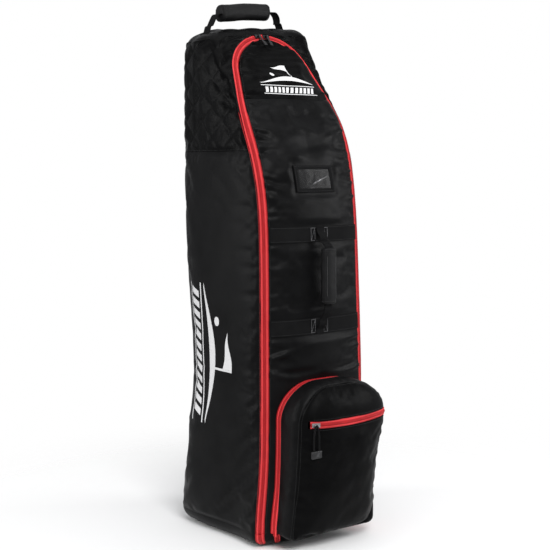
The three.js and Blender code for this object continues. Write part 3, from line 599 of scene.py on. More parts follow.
def edge_rows(grid, sides):
    """The paths of stitches that run just inside these sides of a grid."""
    normals = grid_normals(grid)
    index = {"l": (slice(None), 1), "r": (slice(None), -2), "b": 1, "t": -2}
    return [(grid[index[side]], normals[index[side]]) for side in sides]


# ---------------------------------------------------------------- materials
class Nodes:
    """A material's node tree, written as nested calls."""

    def __init__(self, name):
        self.material = bpy.data.materials.new(name)
        self.material.use_nodes = True
        self.tree = self.material.node_tree
        self.shader = self.tree.nodes["Principled BSDF"]

    def add(self, kind, inputs, output=0, **settings):
        node = self.tree.nodes.new(kind)
        for key, value in settings.items():
            setattr(node, key, value)
        for key, value in inputs.items():
            self.set(node.inputs[key], value)
        return node.outputs[output]

    def set(self, socket, value):
        if isinstance(value, bpy.types.NodeSocket):
            self.tree.links.new(value, socket)
        else:
            socket.default_value = value

    def math(self, operation, a, b=0.0):
        return self.add("ShaderNodeMath", {0: a, 1: b}, operation=operation)

    def noise(self, scale, detail=3.0, vector=None, roughness=0.5):
        inputs = {"Scale": scale, "Detail": detail, "Roughness": roughness}
        return self.add("ShaderNodeTexNoise", inputs | ({"Vector": vector} if vector else {}))

    def ramp(self, value, low, high, a, b):
        inputs = {"Value": value, "From Min": low, "From Max": high, "To Min": a, "To Max": b}
        return self.add("ShaderNodeMapRange", inputs)

    def mix(self, factor, a, b):
        colour = [(*c, 1.0) if isinstance(c, tuple) else c for c in (a, b)]
        inputs = {"Factor": factor, 6: colour[0], 7: colour[1]}
        return self.add("ShaderNodeMix", inputs, output=2, data_type="RGBA")

    def cloth_place(self):
        """(across, along) of the cloth in metres, as two sockets."""
        vector = self.add("ShaderNodeAttribute", {}, output=1, attribute_name="cloth")
        split = self.add("ShaderNodeSeparateXYZ", {0: vector}).node
        return split.outputs[0], split.outputs[1]

    def object_place(self):
        return self.tree.nodes.new("ShaderNodeTexCoord").outputs["Object"]

    def cloudy(self, scale, where):
        """Large soft noise, for uneven colour and gloss."""
        return self.noise(scale, 4.0, where, 0.6)

    def thread(self, value, pitch):
        """A wave from -1 to 1 along value, one period a pitch."""
        return self.math("SINE", self.math("MULTIPLY", value, 2 * math.pi / pitch))

    def bump(self, height, strength, distance):
        inputs = {"Height": height, "Strength": strength, "Distance": distance}
        return self.add("ShaderNodeBump", inputs)

    def finish(self, **sockets):
        for key, value in sockets.items():
            if isinstance(value, tuple):
                value = (*value, 1.0)
            self.set(self.shader.inputs[key.replace("_", " ")], value)
        return self.material


def woven(name, dark, light, roughness, pitch, specular, weave=0.25, crease=1.8, sheen=0.0):
    """Woven synthetic cloth: crossing threads, faint creases, and slightly uneven colour and gloss."""
    nodes = Nodes(name)
    across, along = nodes.cloth_place()
    threads = nodes.math("MULTIPLY", nodes.thread(across, pitch), nodes.thread(along, pitch))
    where = nodes.object_place()
    cloudy = nodes.cloudy(14.0, where)
    creases = nodes.math("MULTIPLY", nodes.noise(60.0, 3.0, where, 0.55), crease)
    height = nodes.math("ADD", nodes.math("MULTIPLY", threads, weave), creases)
    shade = nodes.math("ADD", nodes.ramp(cloudy, 0.3, 0.7, 0.0, 0.8), nodes.math("MULTIPLY", threads, 0.15))
    return nodes.finish(
        Base_Color=nodes.mix(shade, dark, light),
        Roughness=nodes.ramp(cloudy, 0.3, 0.7, roughness - 0.05, roughness + 0.06),
        Specular_IOR_Level=specular,
        Sheen_Weight=sheen,
        Sheen_Roughness=0.4,
        Normal=nodes.bump(height, 0.5, 0.0003),
    )


def ribbed(name, dark, light, rib=0.0016, cord=0.0031, specular=0.3, roughness=0.62, sheen=0.08):
    """Webbing or zip tape: fine ribs across it, and cords along it."""
    nodes = Nodes(name)
    across, along = nodes.cloth_place()
    ribs = nodes.thread(along, rib)
    cords = nodes.math("ABSOLUTE", nodes.thread(across, cord))
    height = nodes.math("ADD", ribs, nodes.math("MULTIPLY", cords, 1.4))
    worn = nodes.cloudy(35.0, nodes.object_place())
    shade = nodes.math("ADD", nodes.ramp(worn, 0.35, 0.7, 0.0, 0.6), nodes.math("MULTIPLY", cords, 0.35))
    return nodes.finish(
        Base_Color=nodes.mix(shade, dark, light),
        Roughness=nodes.ramp(worn, 0.3, 0.7, roughness - 0.06, roughness + 0.08),
        Specular_IOR_Level=specular,
        Sheen_Weight=sheen,
        Normal=nodes.bump(height, 0.6, 0.0004),
    )


def zip_tape():
    """Red zip tape: its ribs, and on each half a painted highlight down its middle that fades to painted shade
    towards the teeth and the outer edge.
    """
    nodes = Nodes("red_tape")
    across, along = nodes.cloth_place()
    away = nodes.math("ABSOLUTE", across)
    # Painted light: each half is lighter 5 to 7 mm from the line (painted highlight) and darker nearer the
    # teeth and at its outer edge (painted shade).
    inner_edge = nodes.ramp(away, 0.0030, 0.0050, 0.0, 1.0)
    outer_edge = nodes.ramp(away, 0.0070, 0.0096, 1.0, 0.0)
    painted_highlight = nodes.math("MULTIPLY", inner_edge, outer_edge)
    cords = nodes.math("ABSOLUTE", nodes.thread(across, 0.0024))
    height = nodes.math("ADD", nodes.thread(along, 0.0011), cords)
    worn = nodes.ramp(nodes.cloudy(35.0, nodes.object_place()), 0.35, 0.7, 0.75, 1.0)
    return nodes.finish(
        Base_Color=nodes.mix(nodes.math("MULTIPLY", painted_highlight, worn), (0.38, 0.009, 0.012), (0.84, 0.064, 0.070)),
        Roughness=nodes.ramp(worn, 0.75, 1.0, 0.52, 0.64),
        Specular_IOR_Level=0.18,
        Normal=nodes.bump(height, 0.6, 0.0004),
    )


def moulded(name, dark, light, roughness, grain=900.0, specular=0.4):
    """Moulded plastic or rubber with a fine grain, a little polished where it is rubbed."""
    nodes = Nodes(name)
    where = nodes.object_place()
    fine, cloudy = nodes.noise(grain, 2.0, where), nodes.cloudy(25.0, where)
    return nodes.finish(
        Base_Color=nodes.mix(nodes.ramp(cloudy, 0.35, 0.7, 0.0, 1.0), dark, light),
        Roughness=nodes.ramp(cloudy, 0.3, 0.7, roughness - 0.08, roughness + 0.08),
        Specular_IOR_Level=specular,
        Normal=nodes.bump(fine, 0.25, 0.0002),
    )


def metallic(name, colour, roughness):
    """Cast or drawn metal with hair-fine scratches, duller where it is worn."""
    nodes = Nodes(name)
    where = nodes.object_place()
    scratch, cloudy = nodes.noise(1400.0, 2.0, where), nodes.cloudy(60.0, where)
    worn = tuple(0.7 * part for part in colour)
    return nodes.finish(
        Base_Color=nodes.mix(nodes.ramp(cloudy, 0.4, 0.75, 0.0, 1.0), colour, worn),
        Metallic=1.0,
        Roughness=nodes.ramp(cloudy, 0.3, 0.7, roughness - 0.06, roughness + 0.1),
        Normal=nodes.bump(scratch, 0.1, 0.0001),
    )


def foamed():
    """Open-celled foam."""
    nodes = Nodes("foam")
    cells = nodes.add("ShaderNodeTexVoronoi", {"Vector": nodes.object_place(), "Scale": 700.0})
    shade = nodes.ramp(cells, 0.1, 0.6, 0.0, 1.0)
    return nodes.finish(
        Base_Color=nodes.mix(shade, (0.035, 0.035, 0.037), (0.075, 0.075, 0.078)),
        Roughness=0.95,
        Specular_IOR_Level=0.1,
        Normal=nodes.bump(cells, 0.7, 0.0005),
    )


def clear_vinyl():
    """Clear sheet with a painted glint along its creases, where it turns paler and more opaque."""
    nodes = Nodes("clear_vinyl")
    painted_glint, _ = nodes.cloth_place()
    wavy = nodes.noise(45.0, 2.0, nodes.object_place())
    return nodes.finish(
        Base_Color=nodes.mix(painted_glint, (0.008, 0.008, 0.009), (0.30, 0.30, 0.31)),
        Roughness=0.16,
        Specular_IOR_Level=0.30,
        Alpha=nodes.ramp(painted_glint, 0.0, 1.0, 0.10, 0.90),
        Normal=nodes.bump(wavy, 0.4, 0.001),
    )


def printed():
    """White print on cloth, which shows a little of the weave and is finely crazed."""
    nodes = Nodes("white_print")
    crazed = nodes.noise(220.0, 5.0, nodes.object_place(), 0.7)
    shade = nodes.ramp(crazed, 0.35, 0.7, 0.0, 1.0)
    return nodes.finish(
        Base_Color=nodes.mix(shade, (0.72, 0.72, 0.72), (0.62, 0.62, 0.63)),
        Roughness=0.55,
        Specular_IOR_Level=0.3,
        Normal=nodes.bump(crazed, 0.2, 0.0002),
    )


POLYESTER = woven("black_polyester", (0.0036, 0.0036, 0.0038), (0.0072, 0.0072, 0.0075), 0.34, 0.0012, 0.058)
# A darker copy of the black polyester, for the upper front and the pocket's face: painted shade.
SHADED_POLYESTER = woven("shaded_polyester", (0.0020, 0.0020, 0.0021), (0.0042, 0.0042, 0.0044), 0.36, 0.0012, 0.034)
QUILTED = woven("quilted_cloth", (0.0012, 0.0012, 0.0013), (0.0028, 0.0028, 0.0030), 0.25, 0.0010, 0.048)
LINING = woven("lining", (0.018, 0.018, 0.019), (0.030, 0.030, 0.032), 0.62, 0.0014, 0.2, sheen=0.05)
WEBBING = ribbed("webbing", (0.0030, 0.0030, 0.0032), (0.0085, 0.0085, 0.0090), specular=0.06, sheen=0.0)
GRIP = woven("grip_cloth", (0.0060, 0.0060, 0.0063), (0.0130, 0.0130, 0.0135), 0.46, 0.0016, 0.10, 0.4)
TAPE = zip_tape()
COIL = moulded("coil_red", (0.36, 0.010, 0.014), (0.46, 0.016, 0.020), 0.42, 700.0, 0.22)
PLASTIC = moulded("black_plastic", (0.010, 0.010, 0.011), (0.020, 0.020, 0.021), 0.42)
RUBBED = moulded("rubbed_plastic", (0.030, 0.030, 0.032), (0.060, 0.060, 0.062), 0.30)
URETHANE = moulded("urethane", (0.018, 0.018, 0.019), (0.030, 0.030, 0.031), 0.50, 500.0)
THREAD = ribbed("thread", (0.009, 0.009, 0.0095), (0.022, 0.022, 0.023), 0.0008, 0.0010)
# Lighter thread for the rows that paint the front grip's edge highlights: painted highlight.
HIGHLIGHT_THREAD = ribbed("highlight_thread", (0.035, 0.035, 0.037), (0.070, 0.070, 0.072), 0.0008, 0.0010)
PALE_THREAD = ribbed("pale_thread", (0.10, 0.10, 0.105), (0.20, 0.20, 0.21), 0.0008, 0.0010)
NICKEL = metallic("nickel", (0.50, 0.50, 0.51), 0.30)
GUNMETAL = metallic("gunmetal", (0.060, 0.060, 0.063), 0.34)
STEEL = metallic("axle_steel", (0.52, 0.52, 0.54), 0.30)
FOAM = foamed()
VINYL = clear_vinyl()
CARD = moulded("card", (0.004, 0.004, 0.0042), (0.008, 0.008, 0.0084), 0.55, 300.0, 0.15)
PRINT = printed()


# ---------------------------------------------------------------- camera, light and floor
def add_camera():
    """39 degrees round to the left, a little above the case's middle, and looking slightly down and aside."""
    round_by, distance, height = math.radians(39), 3.0, 0.92
    down, aside = math.radians(5.28), math.radians(0.243)
    data = bpy.data.cameras.new("camera")
    data.lens = 77.17
    camera = linked("camera", data)
    camera.location = (-distance * math.sin(round_by), SHIFT - distance * math.cos(round_by), height)
    camera.rotation_euler = (math.pi / 2 - down, 0, -round_by - aside)
    bpy.context.scene.camera = camera


def add_light(name, location, target, size, power):
    data = bpy.data.lights.new(name, "AREA")
    data.shape = "RECTANGLE"
    data.size, data.size_y = size
    data.energy = power
    light = linked(name, data)
    light.location = location
    light.rotation_euler = (Vector(target) - Vector(location)).to_track_quat("-Z", "Y").to_euler()


def fade_out(nodes, near=0.28, far=1.3):
    """The floor runs out into the white round it: it turns clear with distance from the object."""
    surface = nodes.tree.nodes["Material Output"].inputs["Surface"]
    length = nodes.add("ShaderNodeVectorMath", {0: nodes.object_place()}, "Value", operation="LENGTH")
    reach = {"Value": length, "From Min": near, "From Max": far}
    clear = nodes.add("ShaderNodeMapRange", reach, interpolation_type="SMOOTHSTEP")
    glass = nodes.add("ShaderNodeBsdfTransparent", {})
    opaque = surface.links[0].from_socket
    nodes.set(surface, nodes.add("ShaderNodeMixShader", {0: clear, 1: opaque, 2: glass}))


def add_floor(size=3.0, below=0.0015):
    nodes = Nodes("pale_floor")
    shade = nodes.mix(nodes.noise(1.5, 2.0, nodes.object_place()), (0.90, 0.90, 0.90), (0.93, 0.93, 0.93))
    nodes.finish(Base_Color=shade, Roughness=0.8, Specular_IOR_Level=0.1)
    fade_out(nodes)
    corners = [(x * size, y * size, -below) for x, y in ((-1, -1), (1, -1), (1, 1), (-1, 1))]
    new_mesh("floor", corners, [[0, 1, 2, 3]], [nodes.material], shifted=False)


def add_world():
    """White to the camera, and a softer light on the object."""
    world = bpy.data.worlds.new("studio")
    world.use_nodes = True
    tree = world.node_tree
    seen, lit = tree.nodes["Background"], tree.nodes.new("ShaderNodeBackground")
    seen.inputs["Color"].default_value, seen.inputs["Strength"].default_value = (1, 1, 1, 1), 1.0
    lit.inputs["Color"].default_value, lit.inputs["Strength"].default_value = (0.97, 0.98, 1.0, 1), 0.42
    mix, path = tree.nodes.new("ShaderNodeMixShader"), tree.nodes.new("ShaderNodeLightPath")
    tree.links.new(path.outputs["Is Camera Ray"], mix.inputs[0])
    tree.links.new(lit.outputs[0], mix.inputs[1])
    tree.links.new(seen.outputs[0], mix.inputs[2])
    tree.links.new(mix.outputs[0], tree.nodes["World Output"].inputs["Surface"])
    bpy.context.scene.world = world


def add_studio():
    add_floor()
    add_world()
    add_light("key", (-1.4, -3.0, 2.9), (0, 0, 0.7), (1.6, 1.6), 114)
    add_light("rim", (-2.8, 1.4, 1.2), (0, 0, 0.6), (0.9, 2.4), 46)
    add_light("fill", (2.6, -2.0, 1.6), (0, 0, 0.6), (1.2, 2.0), 54)
    add_light("top", (-0.3, -0.6, 3.4), (0, 0, 0), (2.6, 2.6), 30)
    bpy.context.scene.view_settings.view_transform = "Standard"


# ---------------------------------------------------------------- the shell's cloth
def rows_between(low, high, step=MESH_STEP):
    return np.linspace(low, high, int(round((high - low) / step)) + 1)


HOUSING_COLUMN = 97  # the column of a side's grid where the wheel housing's cut begins


def side_surface(z):
    """The right side at heights z, from the zip round to the back seam."""
    ring, marks = half_ring(z, zip_width(z, FABRIC_EDGE))
    to_housing = resample(ring, 0, marks["housing"], HOUSING_COLUMN + 1)
    to_seam = resample(ring, marks["housing"], marks["seam"], 6)
    return np.concatenate([to_housing, to_seam[:, 1:]], 1)


def side_place(grid):
    """Each point's (distance to the back seam, height, distance from the zip), and its distance up the zip."""
    from_zip = from_left(grid)
    to_seam = from_zip[:, -1:] - from_zip
    return together(to_seam, grid[..., 2], from_zip), lengths(grid[:, 0])[:, None] + 0 * to_seam


def mirrored(grid, side):
    """The grid on the chosen side of the bag, its faces still pointing out."""
    return grid if side > 0 else (grid * [-1, 1, 1])[:, ::-1]


def turned(values, side):
    return values if side > 0 else values[:, ::-1]


def seam_dip(grid, depth, sides="lrbt"):
    """The dip where a panel is turned in at its seams."""
    return -depth * bell(edge_distance(grid, sides), SEAM_DIP)


def add_side(name, side, seed):
    z = np.concatenate([rows_between(TRAY_TOP, HOUSING_TOP, 0.004), rows_between(HOUSING_TOP, HOOD_BOTTOM)[1:]])
    smooth = side_surface(z)
    place, along_zip = side_place(smooth)
    free = smoothstep(edge_distance(smooth), 0.0, 0.030)
    soft = settled(smooth, 0.012, 0.6, 0.009)
    height = puckers(along_zip, place[..., 2], seed, 0.030, (0.030, 0.085), (0.005, 0.011), 0.0030)
    height *= bell(z[:, None] - 0.40, 0.12) + 0.08
    height += 0.0016 * ripple(smooth * [1, 1, 0.5], 0.24, seed + 1) * free
    near_zip = bell(place[..., 2] - 0.035, 0.035) * bell(z[:, None] - 0.40, 0.10)
    height += 0.0030 * ripple(smooth * [1, 0.45, 1], 0.055, seed + 3) * near_zip * free
    height += seam_dip(smooth, 0.0010, "lr") + seam_dip(smooth, 0.0004, "t")
    keep = np.ones((len(z) - 1, smooth.shape[1] - 1), bool)
    keep[z[:-1] < HOUSING_TOP - 0.001, HOUSING_COLUMN:] = False
    final = mirrored(displaced(soft, height), side)
    obj = slab(f"{name}_cloth", final, WALL, [POLYESTER, LINING], turned(place, side), turned(keep, side),
               mirrored(smooth, side))
    above = final[np.searchsorted(z, HOUSING_TOP) + 1 :]
    add_stitches(f"{name}_stitches", edge_rows(above, "lr"), "shell")
    return piece(obj, "shell", "black_polyester", name)


def add_hood_side(name, side, seed):
    line = zip_half(FABRIC_EDGE)
    between = line[np.searchsorted(line[:, 1], HOOD_BOTTOM) : np.searchsorted(line[:, 1], CROWN_BOTTOM) - 1]
    ends = [[[zip_width(z, FABRIC_EDGE), z]] for z in (HOOD_BOTTOM, CROWN_BOTTOM)]
    z = evenly(np.concatenate([ends[0], between, ends[1]]), 100)[:, 1]
    smooth = side_surface(z)
    place, along_zip = side_place(smooth)
    edge = edge_distance(smooth)
    sewn = smoothstep(edge_distance(smooth, "lrb"), 0.004, 0.022)
    height = quilting(place[..., 0], z[:, None] - HOOD_BOTTOM) * sewn
    height += puckers(along_zip, place[..., 2], seed, 0.026, (0.025, 0.060), (0.004, 0.008), 0.0022)
    height += 0.0012 * ripple(smooth, 0.060, seed + 1) * smoothstep(edge, 0, 0.02)
    height += seam_dip(smooth, 0.0018, "lr") + seam_dip(smooth, 0.0006, "b")
    final = mirrored(displaced(settled(smooth, 0.010, 0.3, 0.004, 10), height), side)
    back = mirrored(smooth, side)
    obj = slab(f"{name}_cloth", final, WALL, [QUILTED, LINING], turned(place, side), inner=back)
    add_stitches(f"{name}_stitches", edge_rows(final, "lrb"), "shell")
    return piece(obj, "shell", "quilted_hood", name)


def add_back(name, low, high, material, slot, quilted, seed):
    z = rows_between(low, high)[:, None]
    x = np.linspace(BACK_SEAM_X, -BACK_SEAM_X, 53)
    y = BACK_Y + BACK_PUFF * (1 - (x / (HALF_WIDTH - BACK_CORNER)) ** 2)
    drawn = rounding(z)
    middle = (zip_plane_y(z) + BACK_Y) / 2
    drawn_y = middle + (y - middle) * (1 - drawn / (BACK_Y - middle))
    smooth = together(x * (1 - drawn / HALF_WIDTH), drawn_y, z)
    edge = edge_distance(smooth)
    free = smoothstep(edge, 0.0, 0.030)
    if quilted:
        height = quilting(BACK_SEAM_X - x, z - HOOD_BOTTOM) * smoothstep(edge, 0.003, 0.018)
        grid = displaced(smooth, height + seam_dip(smooth, 0.0018) + 0.001 * ripple(smooth, 0.06, seed) * free)
    else:
        height = 0.0016 * ripple(smooth * [1, 1, 0.5], 0.20, seed) * free + seam_dip(smooth, 0.0018)
        grid = displaced(settled(smooth, 0.010, 0.6, 0.007), height)
    place = together(x - BACK_SEAM_X, z, 0)
    obj = slab(f"{name}_cloth", grid, WALL, [material, LINING], place, inner=smooth)
    add_stitches(f"{name}_stitches", edge_rows(grid, "lrt"), "shell")
    return piece(obj, "shell", slot, name)


def whole_ring(z, count):
    """The bag's whole outline at heights z, with `count` points in each half."""
    ring, marks = half_ring(z, 0 * z)
    right = resample(ring, 0, marks["middle"], count)
    return np.concatenate([right, (right * [-1, 1, 1])[:, ::-1][:, 1:-1]], 1)


def to_centre(ring, shares):
    """Rings drawn in towards this one's middle by these shares."""
    return np.stack([lerp(ring, ring.mean(0), share) for share in shares])


def bowl(name, grid, normals, place, material, pole_first):
    """A round grid as a closed sheet a wall thick. It is filled in at its pole, and its mouth has a rim."""
    around = grid.shape[1]
    count = grid.shape[0] * around
    ring = [(k, (k + 1) % around) for k in range(around)]
    faces = [list(face) for face in grid_faces(*grid.shape[:2], round_columns=True)]
    if pole_first:
        faces.append(list(range(around))[::-1])
        mouth = [(count - around + a, count - around + b) for a, b in ring]
    else:
        faces.append(list(range(count - around, count)))
        mouth = [(b, a) for a, b in ring]
    outer = len(faces)
    faces += [[i + count for i in face[::-1]] for face in faces[:outer]]
    faces += [[a, b, b + count, a + count] for a, b in mouth]
    picks = [0] * outer + [1] * outer + [0] * around
    points = np.concatenate([grid.reshape(-1, 3), (grid - normals * WALL).reshape(-1, 3)])
    obj = new_mesh(name, points, faces, [material, LINING], picks, np.concatenate([place.reshape(-1, 3)] * 2))
    outwards(obj)
    return obj


def add_crown():
    """The top of the hood, from its level seam up over the round edge. It is notched for the zip's arch."""
    turn = np.linspace(math.acos(1 - (HEIGHT - CROWN_BOTTOM) / CROWN_ROUND), 0, 12)
    rim = whole_ring(HEIGHT - CROWN_ROUND * (1 - np.cos(turn)), 110)
    line = zip_half(FABRIC_EDGE)[::-1]
    notch = np.interp(np.abs(rim[0, :, 0]), line[:, 0], line[:, 1])
    front = rim[0, :, 1] < BACK_Y / 2
    lift = np.where(front, np.maximum(notch - CROWN_BOTTOM, 0), 0)
    rim[:, :, 2] += lift * np.linspace(1, 0, len(rim))[:, None]
    shares = (0.06, 0.14, 0.24, 0.36, 0.48, 0.60, 0.72, 0.84, 0.94, 0.995)
    grid = np.concatenate([rim, to_centre(rim[-1], shares)])
    normals = round_normals(grid)
    x, y, distance = grid[..., 0], grid[..., 1], edge_distance(grid, "b")
    height = quilting(x - BACK_SEAM_X, y, 0.0026) * smoothstep(distance, 0.003, 0.016)
    height += 0.0004 * smoothstep(distance, 0.015, 0.09)
    height *= 1 - bell(np.abs(x) - TOP_HANDLE[0], 0.024) * bell(y - TOP_HANDLE[1], 0.030)
    grid = grid + normals * height[..., None]
    place = together(grid[..., 0], grid[..., 1], distance)
    obj = bowl("hood_crown_panel_cloth", grid, normals, place, QUILTED, pole_first=False)
    sharpen(obj, 55)
    return piece(obj, "shell", "quilted_hood", "hood_crown_panel")


# ---------------------------------------------------------------- the base and the front
def add_tray():
    """The base tray: the bag's outline drawn in under the base, cut away for the wheel housing."""
    turn = np.linspace(0, math.pi / 2, 14)
    rim = whole_ring(np.concatenate([[TRAY_TOP - PANEL_GAP], BASE_ROUND * (1 - np.sin(turn))]), 130)
    grid = np.concatenate([rim, to_centre(rim[-1], np.linspace(0.06, 0.995, 14))])[::-1]
    place = together(grid[..., 0], grid[..., 1] + grid[..., 2], 0)
    obj = bowl("base_tray_cloth", grid, round_normals(grid), place, POLYESTER, pole_first=True)
    room = (2 * HOUSING_X, 0.2, 2 * HOUSING_TOP)
    cutter = cube("housing_room", (0, SHIFT + HOUSING_FRONT + room[1] / 2, 0), room)
    cut = obj.modifiers.new("cut", "BOOLEAN")
    cut.object = cutter
    cut.solver = "EXACT"
    applied(obj)
    bpy.data.objects.remove(cutter)
    sharpen(obj, 55)
    return piece(obj, "shell", "black_polyester", "base_tray")


def cube(name, centre, size):
    mesh = bpy.data.meshes.new(name)
    shape = bmesh.new()
    bmesh.ops.create_cube(shape, size=1, matrix=Matrix.Translation(centre) @ Matrix.Diagonal((*size, 1)))
    shape.to_mesh(mesh)
    shape.free()
    return linked(name, mesh)


def beside_arch(z, start):
    """1 at the heights where the front's cloth bulges over the zip, from `start` up to the arch."""
    return smoothstep(z, start, 1.06) * (1 - smoothstep(z, 1.200, 1.224))


def front_grid(z):
    half = np.maximum(zip_width(z, -FABRIC_EDGE), 0.0012)
    share = np.linspace(-1, 1, 71)[None]
    x = share * half[:, None] + FRONT_LAP * smoothstep(share, 0.3, 1.0) * beside_arch(z, 0.98)[:, None]
    return together(x, front_y(x, z[:, None]), z[:, None])


def add_front(name, heights, seed, lap):
    """One of the door's two panels. Where they meet, a lap of cloth shows as a curved ridge."""
    smooth = front_grid(heights)
    x, z = smooth[..., 0], heights[:, None]
    left = from_left(smooth)
    right = left[:, -1:] - left
    up = lengths(smooth[:, 0])[:, None] + 0 * left
    free = smoothstep(edge_distance(smooth), 0.0, 0.030)
    soft = settled(smooth, 0.012, 0.5, 0.008)
    over_zip = smoothstep(x, 0, 0.03) * beside_arch(z, 0.97)
    folded = 0.8 * bell(z - 0.98, 0.12) + 0.25 + smoothstep(z, 0.62, 0.80) + 1.3 * bell(z - 0.47, 0.08)
    height = 0 * left
    for away, nearer, extra in ((left, left <= right, 0), (right, left > right, 50)):
        fold = puckers(up, away, seed + extra, 0.030, (0.045, 0.120), (0.004, 0.010), 0.0050)
        height += fold * folded * nearer * (1 - 0.85 * over_zip)
    height += 0.0014 * ripple(smooth * [1, 1, 1.6], 0.17, seed + 2) * free
    height += 0.0036 * ripple(smooth * [0.35, 1, 1], 0.070, seed + 4) * smoothstep(z, 0.80, 0.95) * free
    height += 0.0046 * over_zip * bell(right - 0.014, 0.016)
    flat = held_flat(x, z)
    height = height * (1 - flat) + seam_dip(smooth, 0.0014, "lr") * (1 - over_zip)
    seam, to_right = edge_distance(smooth, "b" if lap else "t"), smoothstep(x, -0.01, 0.07)
    if lap:
        height += 0.0026 * to_right * bell(seam - 0.007 - 0.10 * np.maximum(x - 0.03, 0), 0.0035)
    height -= 0.0012 * bell(seam, 0.003) * to_right
    grid = displaced(lerp(soft, smooth, flat[..., None]), height)
    place = together(x, z, np.minimum(left, right))
    # The upper panel takes the darker copy of the polyester: painted shade.
    obj = slab(f"{name}_cloth", grid, WALL, [SHADED_POLYESTER if lap else POLYESTER, LINING], place, inner=smooth)
    add_stitches(f"{name}_stitches", edge_rows(grid, "lr"), "front")
    return piece(obj, "front", "black_polyester", name)


def held_flat(x, z):
    """1 where something sewn on holds the front's cloth flat, falling to 0 around it."""
    held = 0 * x
    for half, low, high in FLAT_PLACES:
        beyond = np.hypot(np.maximum(np.abs(x) - half, 0), np.maximum(np.maximum(low - z, z - high), 0))
        held = np.maximum(held, 1 - smoothstep(beyond, 0.0, 0.022))
    return held


# ---------------------------------------------------------------- zips
def frames_along(points, outs):
    """A line's points, and its directions along, out and across at each."""
    along = unit(np.gradient(points, axis=0))
    out = unit(outs - along * (outs * along).sum(1, keepdims=True))
    return points, along, out, np.cross(out, along)


def main_zip_frames(step=0.004):
    half = evenly(zip_half(0, TRAY_TOP + 0.002), 420)
    right = together(half[:, 0], zip_plane_y(half[:, 1]), half[:, 1])
    path = np.concatenate([right * [-1, 1, 1], right[::-1][1:]])
    path = evenly(path, int(2.6 / step))
    slope = zip_plane_slope(path[:, 2])
    facing = unit(together(0, -1, slope))
    roll = (LEG_ROLL * (1 - smoothstep(path[:, 2], 1.000, 1.150)))[:, None]
    aside = np.array([1, 0, 0]) * np.sign(path[:, :1])
    return frames_along(path, facing * np.cos(roll) + aside * np.sin(roll))


def pocket_zip_frames(low):
    high = POCKET_TOP - POCKET_TOP_CORNER
    a = np.linspace(0, math.pi / 2, 24)
    corner = [POCKET_HALF, high] + POCKET_TOP_CORNER * together(np.cos(a) - 1, np.sin(a))
    leg = together(POCKET_HALF, np.linspace(low, high, 30))[:-1]
    half = np.concatenate([leg, corner, [[0, POCKET_TOP]]])
    path = evenly(np.concatenate([half * [-1, 1], half[::-1][1:]]), 220)
    along = unit(np.gradient(path, axis=0))
    x, z = path.T
    proud = 0.0042 * (1 - smoothstep(z, 0.045, 0.160))
    path = together(x + np.sign(x) * proud, front_y(x, z) - POCKET_ZIP_OUT, z)
    return frames_along(path, together(-along[:, 1], 0, along[:, 0]))


def face_zip_frames():
    a = np.arcsin(np.linspace(FACE_ZIP_LEFT + 0.001, FACE_ZIP_RIGHT + 0.012, 60) / FACE_ZIP_RADIUS)
    x = FACE_ZIP_RADIUS * np.sin(a)
    on_arc = FACE_ZIP_FRONT + FACE_ZIP_RADIUS * (1 - np.cos(a))
    to_rim = np.clip(1 - (POCKET_HALF - np.abs(x)) / RIM_ROUND, 0, 1)
    on_face = pocket_face_y(x, FACE_ZIP_Z) + 0.7 * RIM_DROP * to_rim**2
    ends = smoothstep(np.abs(x), 0.094, 0.106)
    path = together(x, lerp(on_arc, on_face, ends), FACE_ZIP_Z)
    return frames_along(path, together(np.sin(a), -np.cos(a), 0))


def add_tape(name, frames, near, far, low, seed, body, slot, *nodes):
    """One half of a zip's tape: a thin, slightly wavy ribbon from near to far off the zip's line."""
    at, _, out, across = (part[:, None] for part in frames)
    b = np.linspace(near, far, 7)[None, :, None]
    t = np.linspace(0, 1, 7)[None, :, None]
    wave = 0.0004 * ripple(frames[0], 0.07, seed)[:, None, None] * t
    n = low + 0.0005 * np.sin(math.pi * t) + 0.0004 * bell(t - 0.12, 0.1) + wave
    grid = at + across * b + out * n
    place = together(b[..., 0], lengths(frames[0])[:, None], 0)
    if near > far:
        grid, place = grid[:, ::-1], place[:, ::-1]
    obj = slab(name, grid[:, ::-1], 0.0009, [TAPE], place[:, ::-1])
    return piece(obj, body, slot, *nodes)


def add_coil(name, frames, side, body, slot, base=-0.0012, pitch=0.0026):
    """One half of a zip's teeth: small rounded loops set half a pitch from the other half's."""
    length = lengths(frames[0])
    where = np.arange(0.002, length[-1] - 0.002, pitch) + (pitch / 2 if side > 0 else 0)
    at, along, out, across = (points_at(where, length, part) for part in frames)
    loop = [(-0.0006, 0.0), (-0.0006, 0.0012), (0.0004, 0.0021)]
    loop += [(0.0024, 0.0019), (0.0030, 0.0006), (0.0030, 0.0)]
    middle = 0.0012
    rings = []
    for shift, size in ((-0.42, 0.75), (-0.2, 1.0), (0.2, 1.0), (0.42, 0.75)):
        for b, n in loop:
            b = middle + (b - middle) * size
            rings.append(at + along * (shift * pitch) + across * (side * b) + out * (base + n * size))
    points = np.stack(rings, 1)
    count, per = points.shape[:2]
    around = len(loop)
    local = [[r * around + i, r * around + (i + 1) % around, (r + 1) * around + (i + 1) % around,
              (r + 1) * around + i] for r in range(3) for i in range(around)]
    caps = [list(range(around))[::-1], list(range(3 * around, 4 * around))]
    faces = repeated(count, per, np.array(local), np.array(caps))
    if side > 0:
        faces = [face[::-1] for face in faces]
    return piece(new_mesh(name, points, faces, [COIL]), body, slot)


def add_main_zip():
    frames = main_zip_frames()
    for body, side, seed in (("shell", 1, 11), ("front", -1, 12)):
        add_tape(f"main_zip_{body}_ribbon", frames, side * 0.0006, side * TAPE_HALF, -0.0014, seed, body,
                 "red_tape", f"main_zip_{body}_tape")
    for body, side in (("shell", 1), ("front", -1)):
        add_coil(f"main_zip_{body}_coil", frames, side, body, "red_tape")


